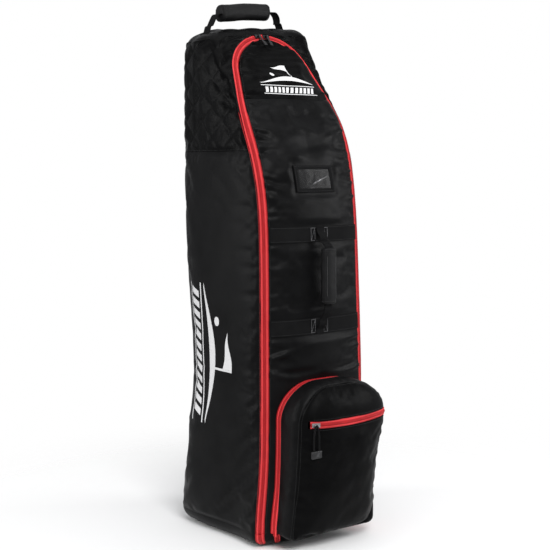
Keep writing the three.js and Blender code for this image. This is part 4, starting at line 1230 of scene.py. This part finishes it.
def add_pocket_zip():
    cover, front = pocket_zip_frames(0.036), pocket_zip_frames(0.040)
    add_tape("pocket_zip_cover_ribbon", cover, -0.0006, -0.0092, -0.0018, 21, "pocket_cover", "red_tape",
             "pocket_zip_cover_tape")
    add_tape("pocket_zip_front_ribbon", front, 0.0006, 0.0125, -0.0018, 22, "front", "red_tape",
             "pocket_zip_front_tape")
    add_coil("pocket_zip_cover_coil", cover, -1, "pocket_cover", "red_tape", -0.0016)
    add_coil("pocket_zip_front_coil", front, 1, "front", "red_tape", -0.0016)


def add_face_zip():
    frames = face_zip_frames()
    for name, side, seed in (("lower", -1, 31), ("upper", 1, 32)):
        add_tape(f"face_zip_{name}_ribbon", frames, side * 0.0006, side * 0.0092, -0.0014, seed, "pocket_cover",
                 "red_tape", f"face_zip_{name}_tape")
        add_coil(f"face_zip_{name}_coil", frames, side, "pocket_cover", "red_tape")


# ---------------------------------------------------------------- pieces kept from the design, with worn edges
def bevelled(obj, width, segments, angle=30):
    """Rounds the object's edges that are sharper than this angle, and shades it smooth."""
    edges = obj.modifiers.new("bevel", "BEVEL")
    edges.width, edges.segments = width, segments
    edges.limit_method = "ANGLE"
    edges.angle_limit = math.radians(angle)
    sharpen(applied(obj), 42)


def softened(node, bevel, material, slot, body, segments=2):
    """A copy of a rigid solid with its edges rounded, as a moulding or casting has them."""
    obj = linked(f"{node}_rounded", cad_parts[node].data.copy())
    obj.data.materials.clear()
    obj.data.materials.append(material)
    with edited(obj) as mesh:
        bmesh.ops.remove_doubles(mesh, verts=mesh.verts, dist=1e-6)
        bmesh.ops.dissolve_limit(mesh, angle_limit=math.radians(2), verts=mesh.verts, edges=mesh.edges)
    bevelled(obj, bevel, segments, 32)
    return piece(obj, body, slot, node)


# ---------------------------------------------------------------- webbing, window and handles
def front_patch(xs, zs, off):
    """A grid over the front at these places, this far off its surface."""
    x, z = np.meshgrid(xs, zs)
    grid = together(x, front_y(x, z), z)
    return grid + grid_normals(grid) * off


def spans(*stops, step=0.004):
    """Places through these stops, in order, about a step apart."""
    parts = [np.linspace(a, b, max(2, int(round((b - a) / step)) + 1)) for a, b in zip(stops, stops[1:])]
    return np.concatenate([parts[0]] + [part[1:] for part in parts[1:]])


def add_front_webbing(name, low, high):
    xs, zs = spans(-WEBBING_HALF, WEBBING_HALF), spans(low, high, step=0.003)
    grid = front_patch(xs, zs, 0.0021)
    place = together(grid[..., 2], grid[..., 0], 0)
    obj = slab(f"front_{name}_webbing_strap", grid, 0.0016, [WEBBING], place)
    add_stitches(f"front_{name}_webbing_stitches", edge_rows(grid, "tb"), "front")
    return piece(obj, "front", "webbing", f"front_{name}_webbing")


def add_box_stitches():
    """The pale boxes of thread that hold the front handle's ends down on its webbings."""
    paths = []
    for low, high in WEBBINGS.values():
        for side in (-1, 1):
            near, far, bottom, top = side * 0.014, side * 0.026, low + 0.004, high - 0.004
            crossed = [(near, bottom), (near, top), (far, bottom), (far, top), (near, top)]
            corners = np.array(crossed + [(far, top), (far, bottom), (near, bottom)])
            steps = np.linspace(0, 1, 12)[:, None]
            x, z = np.concatenate([lerp(a, b, steps) for a, b in zip(corners, corners[1:])]).T
            paths.append((together(x, front_y(x, z) - 0.0022, z), np.tile([0.0, -1.0, 0.0], (len(x), 1))))
    add_stitches("front_handle_box_stitches", paths, "front", PALE_THREAD, 0.0040, 0.0034, 0.0006)


def add_window():
    (wide, bottom, top), (inner, low, high) = WINDOW_FRAME, WINDOW
    xs = spans(-wide, -inner, inner, wide, step=0.0025)
    zs = spans(bottom, low, high, top, step=0.0025)
    grid = front_patch(xs, zs, 0.0030)
    middle_x, middle_z = (xs[1:] + xs[:-1]) / 2, (zs[1:] + zs[:-1]) / 2
    keep = (np.abs(middle_x)[None] > inner) | ((middle_z < low) | (middle_z > high))[:, None]
    place = together(grid[..., 2], grid[..., 0], 0)
    obj = slab("id_window_border", grid, 0.0024, [WEBBING], place, keep)
    add_stitches("id_window_stitches", edge_rows(grid, "lrtb"), "front")
    piece(obj, "front", "webbing", "id_window_frame")
    xs, zs = spans(-inner - 0.002, inner + 0.002, step=0.0015), spans(low - 0.002, high + 0.002, step=0.0015)
    pane = front_patch(xs, zs, 0.0024)
    loose = smoothstep(edge_distance(pane), 0, 0.010)
    x, z = pane[..., 0], pane[..., 2]
    above_crease = z - (low + high) / 2 + 0.0045 - 0.37 * (x - 0.011)
    crease = bell(above_crease, 0.0018) * bell(x - 0.012, 0.022)
    crease += 0.6 * bell(above_crease + 0.009, 0.0016) * bell(x + 0.016, 0.008)
    # A painted glint along the creases: there the film's colour and opacity are raised.
    painted_glint = np.clip(crease * (0.75 + 0.6 * ripple(pane, 0.014, 43, 2)), 0, 1)
    pane = displaced(pane, (0.0003 * ripple(pane, 0.03, 41) + 0.0016 * crease) * loose)
    place = together(painted_glint, pane[..., 2], pane[..., 0])
    piece(slab("id_window_film", pane, 0.0004, [VINYL], place), "front", "clear_vinyl", "id_window_pane")
    card = slab("id_card_sheet", front_patch(xs[1:-1], zs[1:-1], 0.0011), 0.0005, [CARD])
    piece(card, "front", "card", "id_card")


def strap_rings(points, widthwise, width, thickness, count=60):
    """Rings of a flat strap along a smooth path, its edges rounded, and each point's place on it."""
    path = smooth_path(points, count)
    along = unit(np.gradient(path, axis=0))
    widthwise = unit(np.asarray(widthwise, float))
    out = unit(np.cross(along, widthwise))
    turn = full_turn(20)
    w = np.sign(np.cos(turn)) * np.abs(np.cos(turn)) ** 0.35 * width / 2
    n = np.sign(np.sin(turn)) * np.abs(np.sin(turn)) ** 0.6 * thickness / 2
    rings = path[:, None] + widthwise * w[None, :, None] + out[:, None] * n[None, :, None]
    return rings, together(w, lengths(path)[:, None], 0)


def add_strap(name, points, widthwise, width, thickness, body, *nodes):
    rings, place = strap_rings(points, widthwise, width, thickness)
    return piece(tube(name, rings, [WEBBING], place), body, "webbing", *nodes)


def grip_rings(length, deep, tall, flap_from, flap_to, seed):
    """A padded wrap round a straight strap, along +Z about the origin, with its flap lapped over."""
    z = np.concatenate([np.linspace(-1, -0.93, 6), np.linspace(-0.93, 0.93, 46)[1:-1], np.linspace(0.93, 1, 6)])
    end = np.clip((np.abs(z) - 0.93) / 0.07, 0, 1)
    turn = full_turn(64)
    x = np.sign(np.cos(turn)) * np.abs(np.cos(turn)) ** 0.86
    y = np.sign(np.sin(turn)) * np.abs(np.sin(turn)) ** 0.86
    lapped = smoothstep(turn, flap_from, flap_from + 0.05) * (1 - smoothstep(turn, flap_to, flap_to + 0.08))
    size = (1 - 0.35 * end**2.2)[:, None] * (1 - 0.03 * bell(np.abs(z)[:, None] - 0.86, 0.025))
    rings = together(x * deep / 2 * size, y * tall / 2 * size, z[:, None] * length / 2)
    normal = unit(rings * [1, 1, 0])
    dents = 0.0007 * ripple(rings * [1, 1, 0.7], 0.045, seed) - 0.0008
    rings = rings + normal * (dents + 0.0014 * lapped)[..., None]
    return rings, together(turn * deep / 3, z[:, None] * length / 2, 0), normal


def add_grip(name, length, deep, tall, flap, seed, move, body, node, highlight_rows=()):
    """A padded grip moved to its place, with stitches along its flap and round its ends, and any rows of
    lighter thread that paint highlights along its edges.
    """
    rings, place, normal = grip_rings(length, deep, tall, *flap, seed)
    moved, out = move(rings), move(normal) - move(0 * normal)
    obj = tube(f"{name}_pad", moved, [GRIP], place)
    at = np.abs(full_turn(64) - flap[1]).argmin() - 3
    paths = [(moved[4:-4, at], out[4:-4, at])]
    for row in (6, -7):
        paths.append(tuple(np.concatenate([part[row], part[row][:1]]) for part in (moved, out)))
    add_stitches(f"{name}_stitches", paths, body)
    # Rows of lighter thread that stand for the highlights along the grip's edge ridges: painted highlight.
    if highlight_rows:
        columns = [np.abs(full_turn(64) - turn).argmin() for turn in highlight_rows]
        lines = [(moved[10:-10, column], out[10:-10, column]) for column in columns]
        add_stitches(f"{name}_piping", lines, body, HIGHLIGHT_THREAD, 0.0030, 0.0030, 0.0006)
    return piece(obj, body, "webbing", node)


def add_front_handle():
    sewn, pivot, grip = -0.194, -0.206, -0.224
    in_side = lambda points: [(0, y, z) for y, z in points]
    over = lambda points: [(y, 2 * FRONT_HANDLE_Z - z) for y, z in points][::-1]
    high = [(pivot, 0.743), (pivot, 0.740), (grip + 0.005, 0.733), (grip, 0.727), (grip, 0.700)]
    low = over([(pivot, 0.743), (pivot, 0.740), (grip + 0.004, 0.722), (grip, 0.712), (grip, 0.690)])
    add_strap("front_handle_strap", in_side(high + low), (1, 0, 0), 0.025, 0.0025, "front_handle",
              "front_handle_webbing")
    anchor = [(sewn, 0.775), (sewn, 0.764), (pivot + 0.003, 0.753), (pivot, 0.7465), (pivot, 0.7435)]
    add_strap("front_handle_upper_tab", in_side(anchor), (1, 0, 0), 0.025, 0.0025, "front",
              "front_handle_upper_anchor")
    add_strap("front_handle_lower_tab", in_side(over(anchor)), (1, 0, 0), 0.025, 0.0025, "front",
              "front_handle_lower_anchor")
    centre = np.array([0, grip, FRONT_HANDLE_Z + 0.012])
    # The last pair places the two rows of painted highlight down the grip's front.
    add_grip("front_handle_grip", 0.136, 0.042, 0.024, (3.6, 5.6), 51, lambda p: p + centre, "front_handle",
             "front_handle_grip", (4.11, 5.32))


def add_top_handle():
    y, grip, pivot, sewn = TOP_HANDLE[1], 1.315, 1.287, HEIGHT + 0.00155
    left = [(0.1114, pivot), (0.1085, pivot), (0.092, grip - 0.004), (0.084, grip), (0.060, grip)]
    right = [(0.060, grip), (0.088, grip), (0.100, grip - 0.001)]
    right += [(0.109, 1.304), (0.112, 1.293), (0.1114, pivot)]
    path = [(-x, y, z) for x, z in left] + [(x, y, z) for x, z in right]
    add_strap("top_handle_strap", path, (0, 1, 0), 0.028, 0.0025, "top_handle", "top_handle_webbing")
    tab = [(0.138, sewn), (0.124, sewn), (0.1175, pivot - 0.003), (0.1145, pivot), (0.1118, pivot)]
    for name, side in (("left", -1), ("right", 1)):
        placed = [(side * x, y, z) for x, z in tab]
        add_strap(f"top_handle_{name}_tab", placed, (0, 1, 0), 0.028, 0.0025, "shell",
                  f"top_handle_{name}_anchor")
    centre = np.array([0, y, grip])
    add_grip("top_handle_grip", 0.154, 0.043, 0.043, (0.4, 2.6), 61, lambda p: p[..., [2, 0, 1]] + centre,
             "top_handle", "top_handle_grip")


# ---------------------------------------------------------------- the shoe pocket
def pocket_loop(count, inset=0.0):
    """The pocket's outline from the front: [x, z] round it from the bottom's middle, to the right first."""
    half, low, high = POCKET_HALF - inset, POCKET_LOW + inset, POCKET_TOP - inset
    base, top = POCKET_LOW_CORNER - inset, POCKET_TOP_CORNER - inset
    a = np.linspace(0, math.pi / 2, 24)
    right = np.concatenate([
        [[0, low]],
        together(half - base + base * np.sin(a), low + base - base * np.cos(a)),
        together(half - top + top * np.cos(a), high - top + top * np.sin(a)),
        [[0, high]],
    ])
    loop = evenly(np.concatenate([right, (right * [-1, 1])[::-1][1:]]), count + 1)
    return loop[:-1]


def pocket_rim(z):
    return POCKET_RIM + POCKET_RIM_SLOPE * (z - POCKET_BOTTOM)


def pocket_face_y(x, z):
    middle = (POCKET_BOTTOM + POCKET_TOP) / 2
    z = np.maximum(z, POCKET_BOTTOM)
    near = (np.abs(x / POCKET_HALF) ** 4 + np.abs((z - middle) / (POCKET_TOP - middle)) ** 4) ** 0.25
    return -pocket_rim(z) - POCKET_PUFF * (1 - np.minimum(near, 1) ** 3)


def rim_directions(loop):
    """Outwards and forwards at once, at each place round the rim."""
    along = unit(np.roll(loop, -1, 0) - np.roll(loop, 1, 0))
    return unit(together(along[:, 1], -1.0, -along[:, 0]))


def rounded_rim(grid, away, directions):
    return grid - directions * (RIM_DROP * np.clip(1 - away / RIM_ROUND, 0, 1) ** 2)[..., None]


def add_gusset():
    loop = pocket_loop(300)
    x, z = loop.T
    zipped = smoothstep(z, 0.058, 0.074)
    back = front_y(x, z) - lerp(0.001, POCKET_ZIP_OUT + 0.0078, zipped)
    front = -pocket_rim(z)
    t = np.linspace(1, 0, 22)[None]
    y = lerp(back[:, None], front[:, None], t)
    smooth = together(x[:, None], y, z[:, None])
    away = y - front[:, None]
    directions = rim_directions(loop)[:, None] + 0 * smooth
    outwards_only = unit(directions * [1, 0, 1])
    length = np.arange(300)[:, None] * np.linalg.norm(loop[1] - loop[0]) + 0 * t
    puff = 0.0035 * np.sin(math.pi * t) ** 0.8 + 0 * z[:, None]
    folds = puckers(length, away, 71, 0.022, (0.020, 0.050), (0.004, 0.008), 0.0022)
    folds += 0.0014 * ripple(smooth, 0.055, 72) * np.sin(math.pi * t)
    folds -= 0.0022 * bell(away, 0.003)
    keep_low = smoothstep(z, POCKET_LOW, POCKET_LOW + 0.02)[:, None]
    inner = rounded_rim(smooth, away, directions)
    grid = inner + outwards_only * ((puff + folds) * lerp(0.25, 1, keep_low))[..., None]
    place = together(away, length, 0)
    grid, inner, place = (np.concatenate([part, part[:1]]) for part in (grid, inner, place))
    obj = slab("pocket_gusset_cloth", grid, 0.003, [POLYESTER, LINING], place, inner=inner)
    weld(obj)
    add_stitches("pocket_gusset_stitches", edge_rows(grid, "lr"), "pocket_cover")
    return piece(obj, "pocket_cover", "black_polyester", "pocket_gusset")


def weld(obj):
    """Joins a sheet's two ends where they meet, and takes away the rim's faces between them."""
    with edited(obj) as mesh:
        bmesh.ops.remove_doubles(mesh, verts=mesh.verts, dist=2e-5)
        between = [face for face in mesh.faces if sum(len(edge.link_faces) > 2 for edge in face.edges) >= 2]
        bmesh.ops.delete(mesh, geom=between, context="FACES")
    outwards(obj)


def add_pocket_face():
    slot_low, slot_high, slot_left = FACE_ZIP_Z - 0.0085, FACE_ZIP_Z + 0.0085, FACE_ZIP_LEFT - 0.002
    z = spans(POCKET_LOW, slot_low, slot_high, POCKET_TOP, step=0.004)
    loop = pocket_loop(1200)
    right = loop[: len(loop) // 2 + 1]
    half = np.interp(z, right[:, 1], right[:, 0])
    half[0], half[-1] = POCKET_HALF - POCKET_LOW_CORNER, POCKET_HALF - POCKET_TOP_CORNER
    x = np.linspace(-1, 1, 67) * half[:, None]
    high = z[:, None] + 0 * x
    smooth = together(x, pocket_face_y(x, high), high)
    gap = np.linalg.norm(smooth[:, :, None, [0, 2]] - loop[None, None, ::4], axis=3)
    nearest, away = gap.argmin(2), gap.min(2)
    directions = rim_directions(loop)[::4][nearest]
    smooth = rounded_rim(smooth, away, directions)
    beyond_slot = np.maximum(np.maximum(slot_low - high, high - slot_high), 0)
    to_slot = np.hypot(np.maximum(slot_left - x, 0), beyond_slot)
    free = smoothstep(to_slot, 0.0, 0.035)
    soft = lerp(smooth, settled(smooth, 0.014, 0.8, 0.006, 18), free[..., None])
    length = nearest * 4 * np.linalg.norm(loop[1] - loop[0])
    height = puckers(length, away, 81, 0.024, (0.025, 0.060), (0.005, 0.010), 0.0020)
    height += 0.0013 * ripple(smooth, 0.085, 82) * smoothstep(away, 0, 0.03) * free
    beside_pull = bell(high - 0.24, 0.06) * bell(x + 0.07, 0.06)
    height += 0.0016 * ripple(smooth * [0.6, 1, 1], 0.045, 83) * beside_pull
    height -= 0.0022 * bell(away, 0.003)
    keep = np.ones((len(z) - 1, x.shape[1] - 1), bool)
    in_slot = (z[:-1] > slot_low - 1e-6) & (z[1:] < slot_high + 1e-6)
    middle_x = (x[:-1, 1:] + x[:-1, :-1]) / 2
    keep[in_slot[:, None] & (middle_x > slot_left)] = False
    place = np.stack([x, high, away], -1)
    grid = displaced(soft, height)
    # The face takes the darker copy of the polyester: painted shade.
    obj = slab("pocket_face_cloth", grid, 0.003, [SHADED_POLYESTER, LINING], place, keep, smooth)
    normals = grid_normals(grid)
    column = np.searchsorted(x[len(z) * 3 // 4], slot_left) + 1
    paths = edge_rows(grid, "lrtb")
    for row in (np.searchsorted(z, slot_low - 1e-6) - 1, np.searchsorted(z, slot_high - 1e-6) + 1):
        paths.append((grid[row, column:], normals[row, column:]))
    add_stitches("pocket_face_stitches", paths, "pocket_cover")
    return piece(obj, "pocket_cover", "black_polyester", "pocket_face_panel")


# ---------------------------------------------------------------- the zips' tails
def add_tail(name, target, line, ray, aside, half, body):
    """A zip's lower end laid on cloth: two ribbons and a rib of teeth down the line, dropped along the ray."""
    tree = BVHTree.FromObject(target, bpy.context.evaluated_depsgraph_get())
    line = evenly(np.asarray(line, float), 26)
    across = np.concatenate([np.linspace(-half, -0.0022, 6), np.linspace(-0.0014, 0.0014, 5),
                             np.linspace(0.0022, half, 6)])
    narrow = 1 - 0.35 * smoothstep(np.linspace(0, 1, len(line)), 0.7, 1.0)
    ray, aside = Vector(ray).normalized(), Vector(aside).normalized()
    grid = np.zeros((len(line), len(across), 3))
    for i, at in enumerate(line):
        for j, b in enumerate(across):
            start = Vector(at) + Vector((0, SHIFT, 0)) + aside * (b * narrow[i]) - ray * 0.1
            hit = tree.ray_cast(start, ray, 0.2)[0]
            ridge = 0.0016 if abs(b) < 0.0018 else 0.0
            grid[i, j] = (hit or start + ray * 0.1) - ray * (0.0010 + ridge)
    for _ in range(3):
        grid[1:-1] = 0.25 * grid[:-2] + 0.5 * grid[1:-1] + 0.25 * grid[2:]
    flat = together(across, grid[..., 2], 0)
    facing = np.sum(grid_normals(grid)[len(line) // 2, 2] * ray)
    if facing > 0:
        grid, flat = grid[:, ::-1], flat[:, ::-1]
    middle = (across[1:] + across[:-1]) / 2
    shades = np.tile(np.abs(middle) < 0.0018, (len(line) - 1, 1)).ravel()
    obj = slab(name, grid, 0.0016, [TAPE, COIL], flat, shifted=False)
    for polygon, dark in zip(obj.data.polygons, shades):
        polygon.material_index = int(dark)
    return piece(obj, body, "red_tape")


def add_tails(tray):
    for name, side in (("left", -1), ("right", 1)):
        turn = math.sin(LEG_ROLL) * side
        main = np.array([(side * x, FRONT_Y, z) for x, z in ((ZIP_X, 0.0375), (0.147, 0.022), (0.139, 0.006))])
        add_tail(f"main_zip_{name}_tail", tray, stood(main), (-turn, math.cos(LEG_ROLL), 0),
                 (math.cos(LEG_ROLL), turn, 0), TAPE_HALF, "shell")
        pocket = [(side * x, FRONT_Y, z) for x, z in ((0.127, 0.037), (0.121, 0.020), (0.113, 0.007))]
        add_tail(f"pocket_zip_{name}_tail", tray, pocket, (0, 1, 0), (1, 0, 0), 0.0075, "shell")


# ---------------------------------------------------------------- wheels and hardware
def rounded_profile(points, times=2):
    """A closed outline with its corners cut off, again and again."""
    points = np.asarray(points, float)
    for _ in range(times):
        ahead = np.roll(points, -1, 0)
        points = np.stack([lerp(points, ahead, 0.22), lerp(points, ahead, 0.78)], 1).reshape(-1, 2)
    return points


def add_turned(name, profile, centre, material, slot, body, node, sides=72):
    """A ring turned about the wheel's axle. The profile is [radius, across] in metres."""
    turn = full_turn(sides)
    radius, across = profile.T
    grid = together(across[:, None], radius[:, None] * np.cos(turn), radius[:, None] * np.sin(turn))
    faces = [list(face) for face in grid_faces(*grid.shape[:2], round_rows=True, round_columns=True)]
    place = together(across[:, None], radius[:, None] * turn, 0)
    obj = new_mesh(name, grid + np.asarray(centre), faces, [material], cloth=place, shifted=False)
    outwards(obj)
    sharpen(obj, 40)
    return piece(obj, body, slot, node)


def add_wheels():
    for body in ("left_wheel", "right_wheel"):
        low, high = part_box(f"{body}_tyre")
        centre, radius, half = (low + high) / 2, (high.z - low.z) / 2, (high.x - low.x) / 2
        tyre = [(0.0244, -0.009), (0.028, -0.009), (0.031, -half), (0.0332, -0.008), (radius, -0.004),
                (radius, 0.004), (0.0332, 0.008), (0.031, half), (0.028, 0.009), (0.0244, 0.009)]
        hub = [(0.0114, -0.010), (0.014, -0.010), (0.016, -0.005), (0.022, -0.005), (0.024, -0.008),
               (0.024, 0.008), (0.022, 0.005), (0.016, 0.005), (0.014, 0.010), (0.0114, 0.010)]
        bush = [(0.0043, -half), (0.011, -half), (0.011, half), (0.0043, half)]
        side = body.removesuffix("_wheel")
        add_turned(f"{side}_tyre", rounded_profile(tyre), centre, URETHANE, "urethane", body, f"{body}_tyre")
        add_turned(f"{side}_hub", rounded_profile(hub), centre, PLASTIC, "black_plastic", body, f"{body}_hub")
        add_turned(f"{side}_bush", rounded_profile(bush, 1), centre, STEEL, "slider_metal", body,
                   f"{body}_bush")
        softened(f"{side}_axle", 0.0006, STEEL, "axle_steel", "shell")


def add_hardware():
    zips = {"main_zip_left": "main_left", "main_zip_right": "main_right", "face_zip": "face",
            "pocket_zip": "pocket"}
    for zipper, body in zips.items():
        metal = GUNMETAL if zipper.startswith("main") else NICKEL
        softened(f"{zipper}_slider", 0.00045, metal, "slider_metal", f"{body}_slider", 3)
        if zipper == "face_zip":
            add_cord_pull()
        else:
            softened(f"{zipper}_pull", 0.0006, PLASTIC, "black_plastic", f"{body}_pull", 3)
    softened("wheel_housing", 0.0012, PLASTIC, "black_plastic", "shell")
    softened("base_board", 0.0010, PLASTIC, "black_plastic", "shell")
    foam = softened("hood_foam_pad", 0.0060, FOAM, "foam", "shell", 4)
    for level in ("lower", "upper"):
        softened(f"{level}_buckle_socket", 0.0010, PLASTIC, "black_plastic", "shell", 3)
        softened(f"{level}_buckle_clip", 0.0009, PLASTIC, "black_plastic", f"{level}_clip", 3)
        for side in ("left", "right"):
            add_bag_strap(f"{level}_bag_strap_{side}")


def add_cord_pull():
    """The face zip's pull: a doubled strap through the slider's bail, held by a moulded tag at its end."""
    low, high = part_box("face_zip_pull")
    x, y, top, bottom = (low.x + high.x) / 2, (low.y + high.y) / 2 - SHIFT, high.z - 0.0035, low.z
    across, drop = 0.0082, top - bottom - 0.016
    side = ((1, 1), (1, 0.45), (0.5, 0.10))
    left = [(x - across * b, y, top - drop * down) for b, down in side]
    right = [(x + across * b, y, top - drop * down) for b, down in side[::-1]]
    loop = [*left, (x, y - 0.0004, top), *right]
    turn = full_turn(14)
    path = smooth_path(loop, 70)
    along = unit(np.gradient(path, axis=0))
    out = np.cross(along, [0, 1.0, 0])
    section = np.cos(turn)[:, None] * out[:, None] + 0.7 * np.sin(turn)[:, None] * [0, 1.0, 0]
    rings = path[:, None] + 0.0029 * section
    place = together(turn * 0.0023, np.linspace(0, 0.13, 70)[:, None], 0)
    piece(tube("face_zip_pull_cord", rings, [WEBBING], place), "face_pull", "black_plastic", "face_zip_pull")
    middle = Vector((x, y + SHIFT, bottom + 0.0085))
    tag = cube("face_zip_pull_tag", middle, (0.031, 0.0056, 0.018))
    badge = cube("face_zip_pull_badge", middle + Vector((0.001, -0.0028, 0)), (0.009, 0.0012, 0.008))
    for part, bevel, material in ((tag, 0.0022, PLASTIC), (badge, 0.0005, RUBBED)):
        part.data.materials.append(material)
        bevelled(part, bevel, 4)
        piece(part, "face_pull", "black_plastic")


def add_bag_strap(node):
    low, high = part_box(node)
    middle = (low + high) / 2
    ends = [(x, middle.y - SHIFT, middle.z) for x in np.linspace(low.x, high.x, 4)]
    add_strap(f"{node}_webbing", ends, (0, 0, 1), high.z - low.z, high.y - low.y, "shell", node)


# ---------------------------------------------------------------- the printed emblem
def emblem_outlines():
    """A pennant on a green, a ball beside it, and slanted bars between two rules: 1.9 wide and 1.1 tall."""
    a = np.linspace(0, 1, 40)
    hill_top = np.stack([-0.95 + 1.9 * a, 0.26 * np.sin(math.pi * a) ** 1.4 - 0.04], 1)
    hill_under = np.stack([0.95 - 1.9 * a, 0.12 * np.sin(math.pi * a) ** 1.2 - 0.06], 1)[1:-1]
    turn = full_turn(28)
    ball = np.stack([-0.46 + 0.062 * np.cos(turn), 0.285 + 0.062 * np.sin(turn)], 1)
    pole = [(0.16, 0.19), (0.19, 0.19), (0.19, 0.66), (0.16, 0.66)]
    swell = 0.022 * np.sin(2 * math.pi * a)
    pennant_top = np.stack([0.17 - 0.50 * a, 0.66 - 0.09 * a + swell], 1)
    pennant_under = np.stack([-0.33 + 0.50 * a, 0.57 - 0.15 * a + swell[::-1]], 1)[1:]
    rules = [[(-0.95, y), (0.95, y), (0.95, y + 0.026), (-0.95, y + 0.026)] for y in (-0.15, -0.47)]
    bars = []
    for k in range(12):
        x = -0.90 + 0.146 * k
        bars.append([(x, -0.41), (x + 0.088, -0.41), (x + 0.158, -0.20), (x + 0.070, -0.20)])
    flag = np.concatenate([pennant_top, pennant_under])
    return [np.concatenate([hill_top, hill_under]), ball, pole, flag, *rules, *bars]


def add_emblem(name, target, centre, right, up, ray, size, body):
    """The emblem laid on cloth: each outline is filled, cut into small faces and dropped along the ray."""
    right, up, ray = Vector(right), Vector(up), Vector(ray)
    tree = BVHTree.FromObject(target, bpy.context.evaluated_depsgraph_get())
    mesh = bmesh.new()
    for outline in emblem_outlines():
        flat = [Vector((x, y, 0)) for x, y in outline]
        verts = [mesh.verts.new((point.x * size[0], point.y * size[1], 0)) for point in flat]
        for corners in tessellate_polygon([flat]):
            mesh.faces.new([verts[i] for i in corners])
    step = 0.004
    for normal, extent in zip((Vector((1, 0, 0)), Vector((0, 1, 0))), size):
        reach = int(extent / step) + 1
        for k in range(-reach, reach + 1):
            geometry = mesh.verts[:] + mesh.edges[:] + mesh.faces[:]
            place = normal * (k * step + 0.0001)
            bmesh.ops.bisect_plane(mesh, geom=geometry, plane_co=place, plane_no=normal)
    bmesh.ops.recalc_face_normals(mesh, faces=mesh.faces)
    copied = bmesh.ops.extrude_face_region(mesh, geom=mesh.faces[:])["geom"]
    raised = {vert for vert in copied if isinstance(vert, bmesh.types.BMVert)}
    start = Vector(centre) - ray * 0.2
    for vert in mesh.verts:
        point = tree.ray_cast(start + right * vert.co.x + up * vert.co.y, ray)[0] or Vector(centre)
        vert.co = point - ray * (0.00035 if vert in raised else -0.0008)
    data = bpy.data.meshes.new(name)
    bmesh.ops.recalc_face_normals(mesh, faces=mesh.faces)
    mesh.to_mesh(data)
    mesh.free()
    data.materials.append(PRINT)
    obj = linked(name, data)
    sharpen(obj, 50)
    return piece(obj, body, None)


# ---------------------------------------------------------------- all of it
add_camera()
add_studio()
left_side = add_side("left_side_panel", -1, 100)
add_side("right_side_panel", 1, 200)
add_hood_side("hood_left_panel", -1, 300)
add_hood_side("hood_right_panel", 1, 400)
add_back("back_panel", HOUSING_TOP + PANEL_GAP, HOOD_BOTTOM - PANEL_GAP, POLYESTER, "black_polyester", False,
         500)
add_back("hood_back_panel", HOOD_BOTTOM, CROWN_BOTTOM - PANEL_GAP, QUILTED, "quilted_hood", True, 510)
add_crown()
tray = add_tray()
add_front("front_lower_panel", rows_between(TRAY_TOP, FRONT_SEAM - PANEL_GAP), 600, False)
inner_line = zip_half(-FABRIC_EDGE)
seam_start = [[zip_width(FRONT_SEAM, -FABRIC_EDGE), FRONT_SEAM]]
upper_line = evenly(np.concatenate([seam_start, inner_line[inner_line[:, 1] > FRONT_SEAM]]), 70)
front_upper = add_front("front_upper_panel", upper_line[:, 1], 700, True)
for webbing, (bottom_edge, top_edge) in WEBBINGS.items():
    add_front_webbing(webbing, bottom_edge, top_edge)
add_box_stitches()
add_window()
add_main_zip()
add_front_handle()
add_top_handle()
add_pocket_zip()
add_gusset()
add_pocket_face()
add_face_zip()
add_tails(tray)
add_wheels()
add_hardware()
add_emblem("side_emblem", left_side, (-0.17, SHIFT + 0.040, 0.452), (0, 0, -1), (0, -1, 0), (1, 0, 0),
           (0.187, 0.156), "shell")
add_emblem("front_emblem", front_upper, (0.008, -0.10, 1.127), (1, 0, 0), (0, 0, 1), (0, 1, 0),
           (0.086, 0.066), "front")
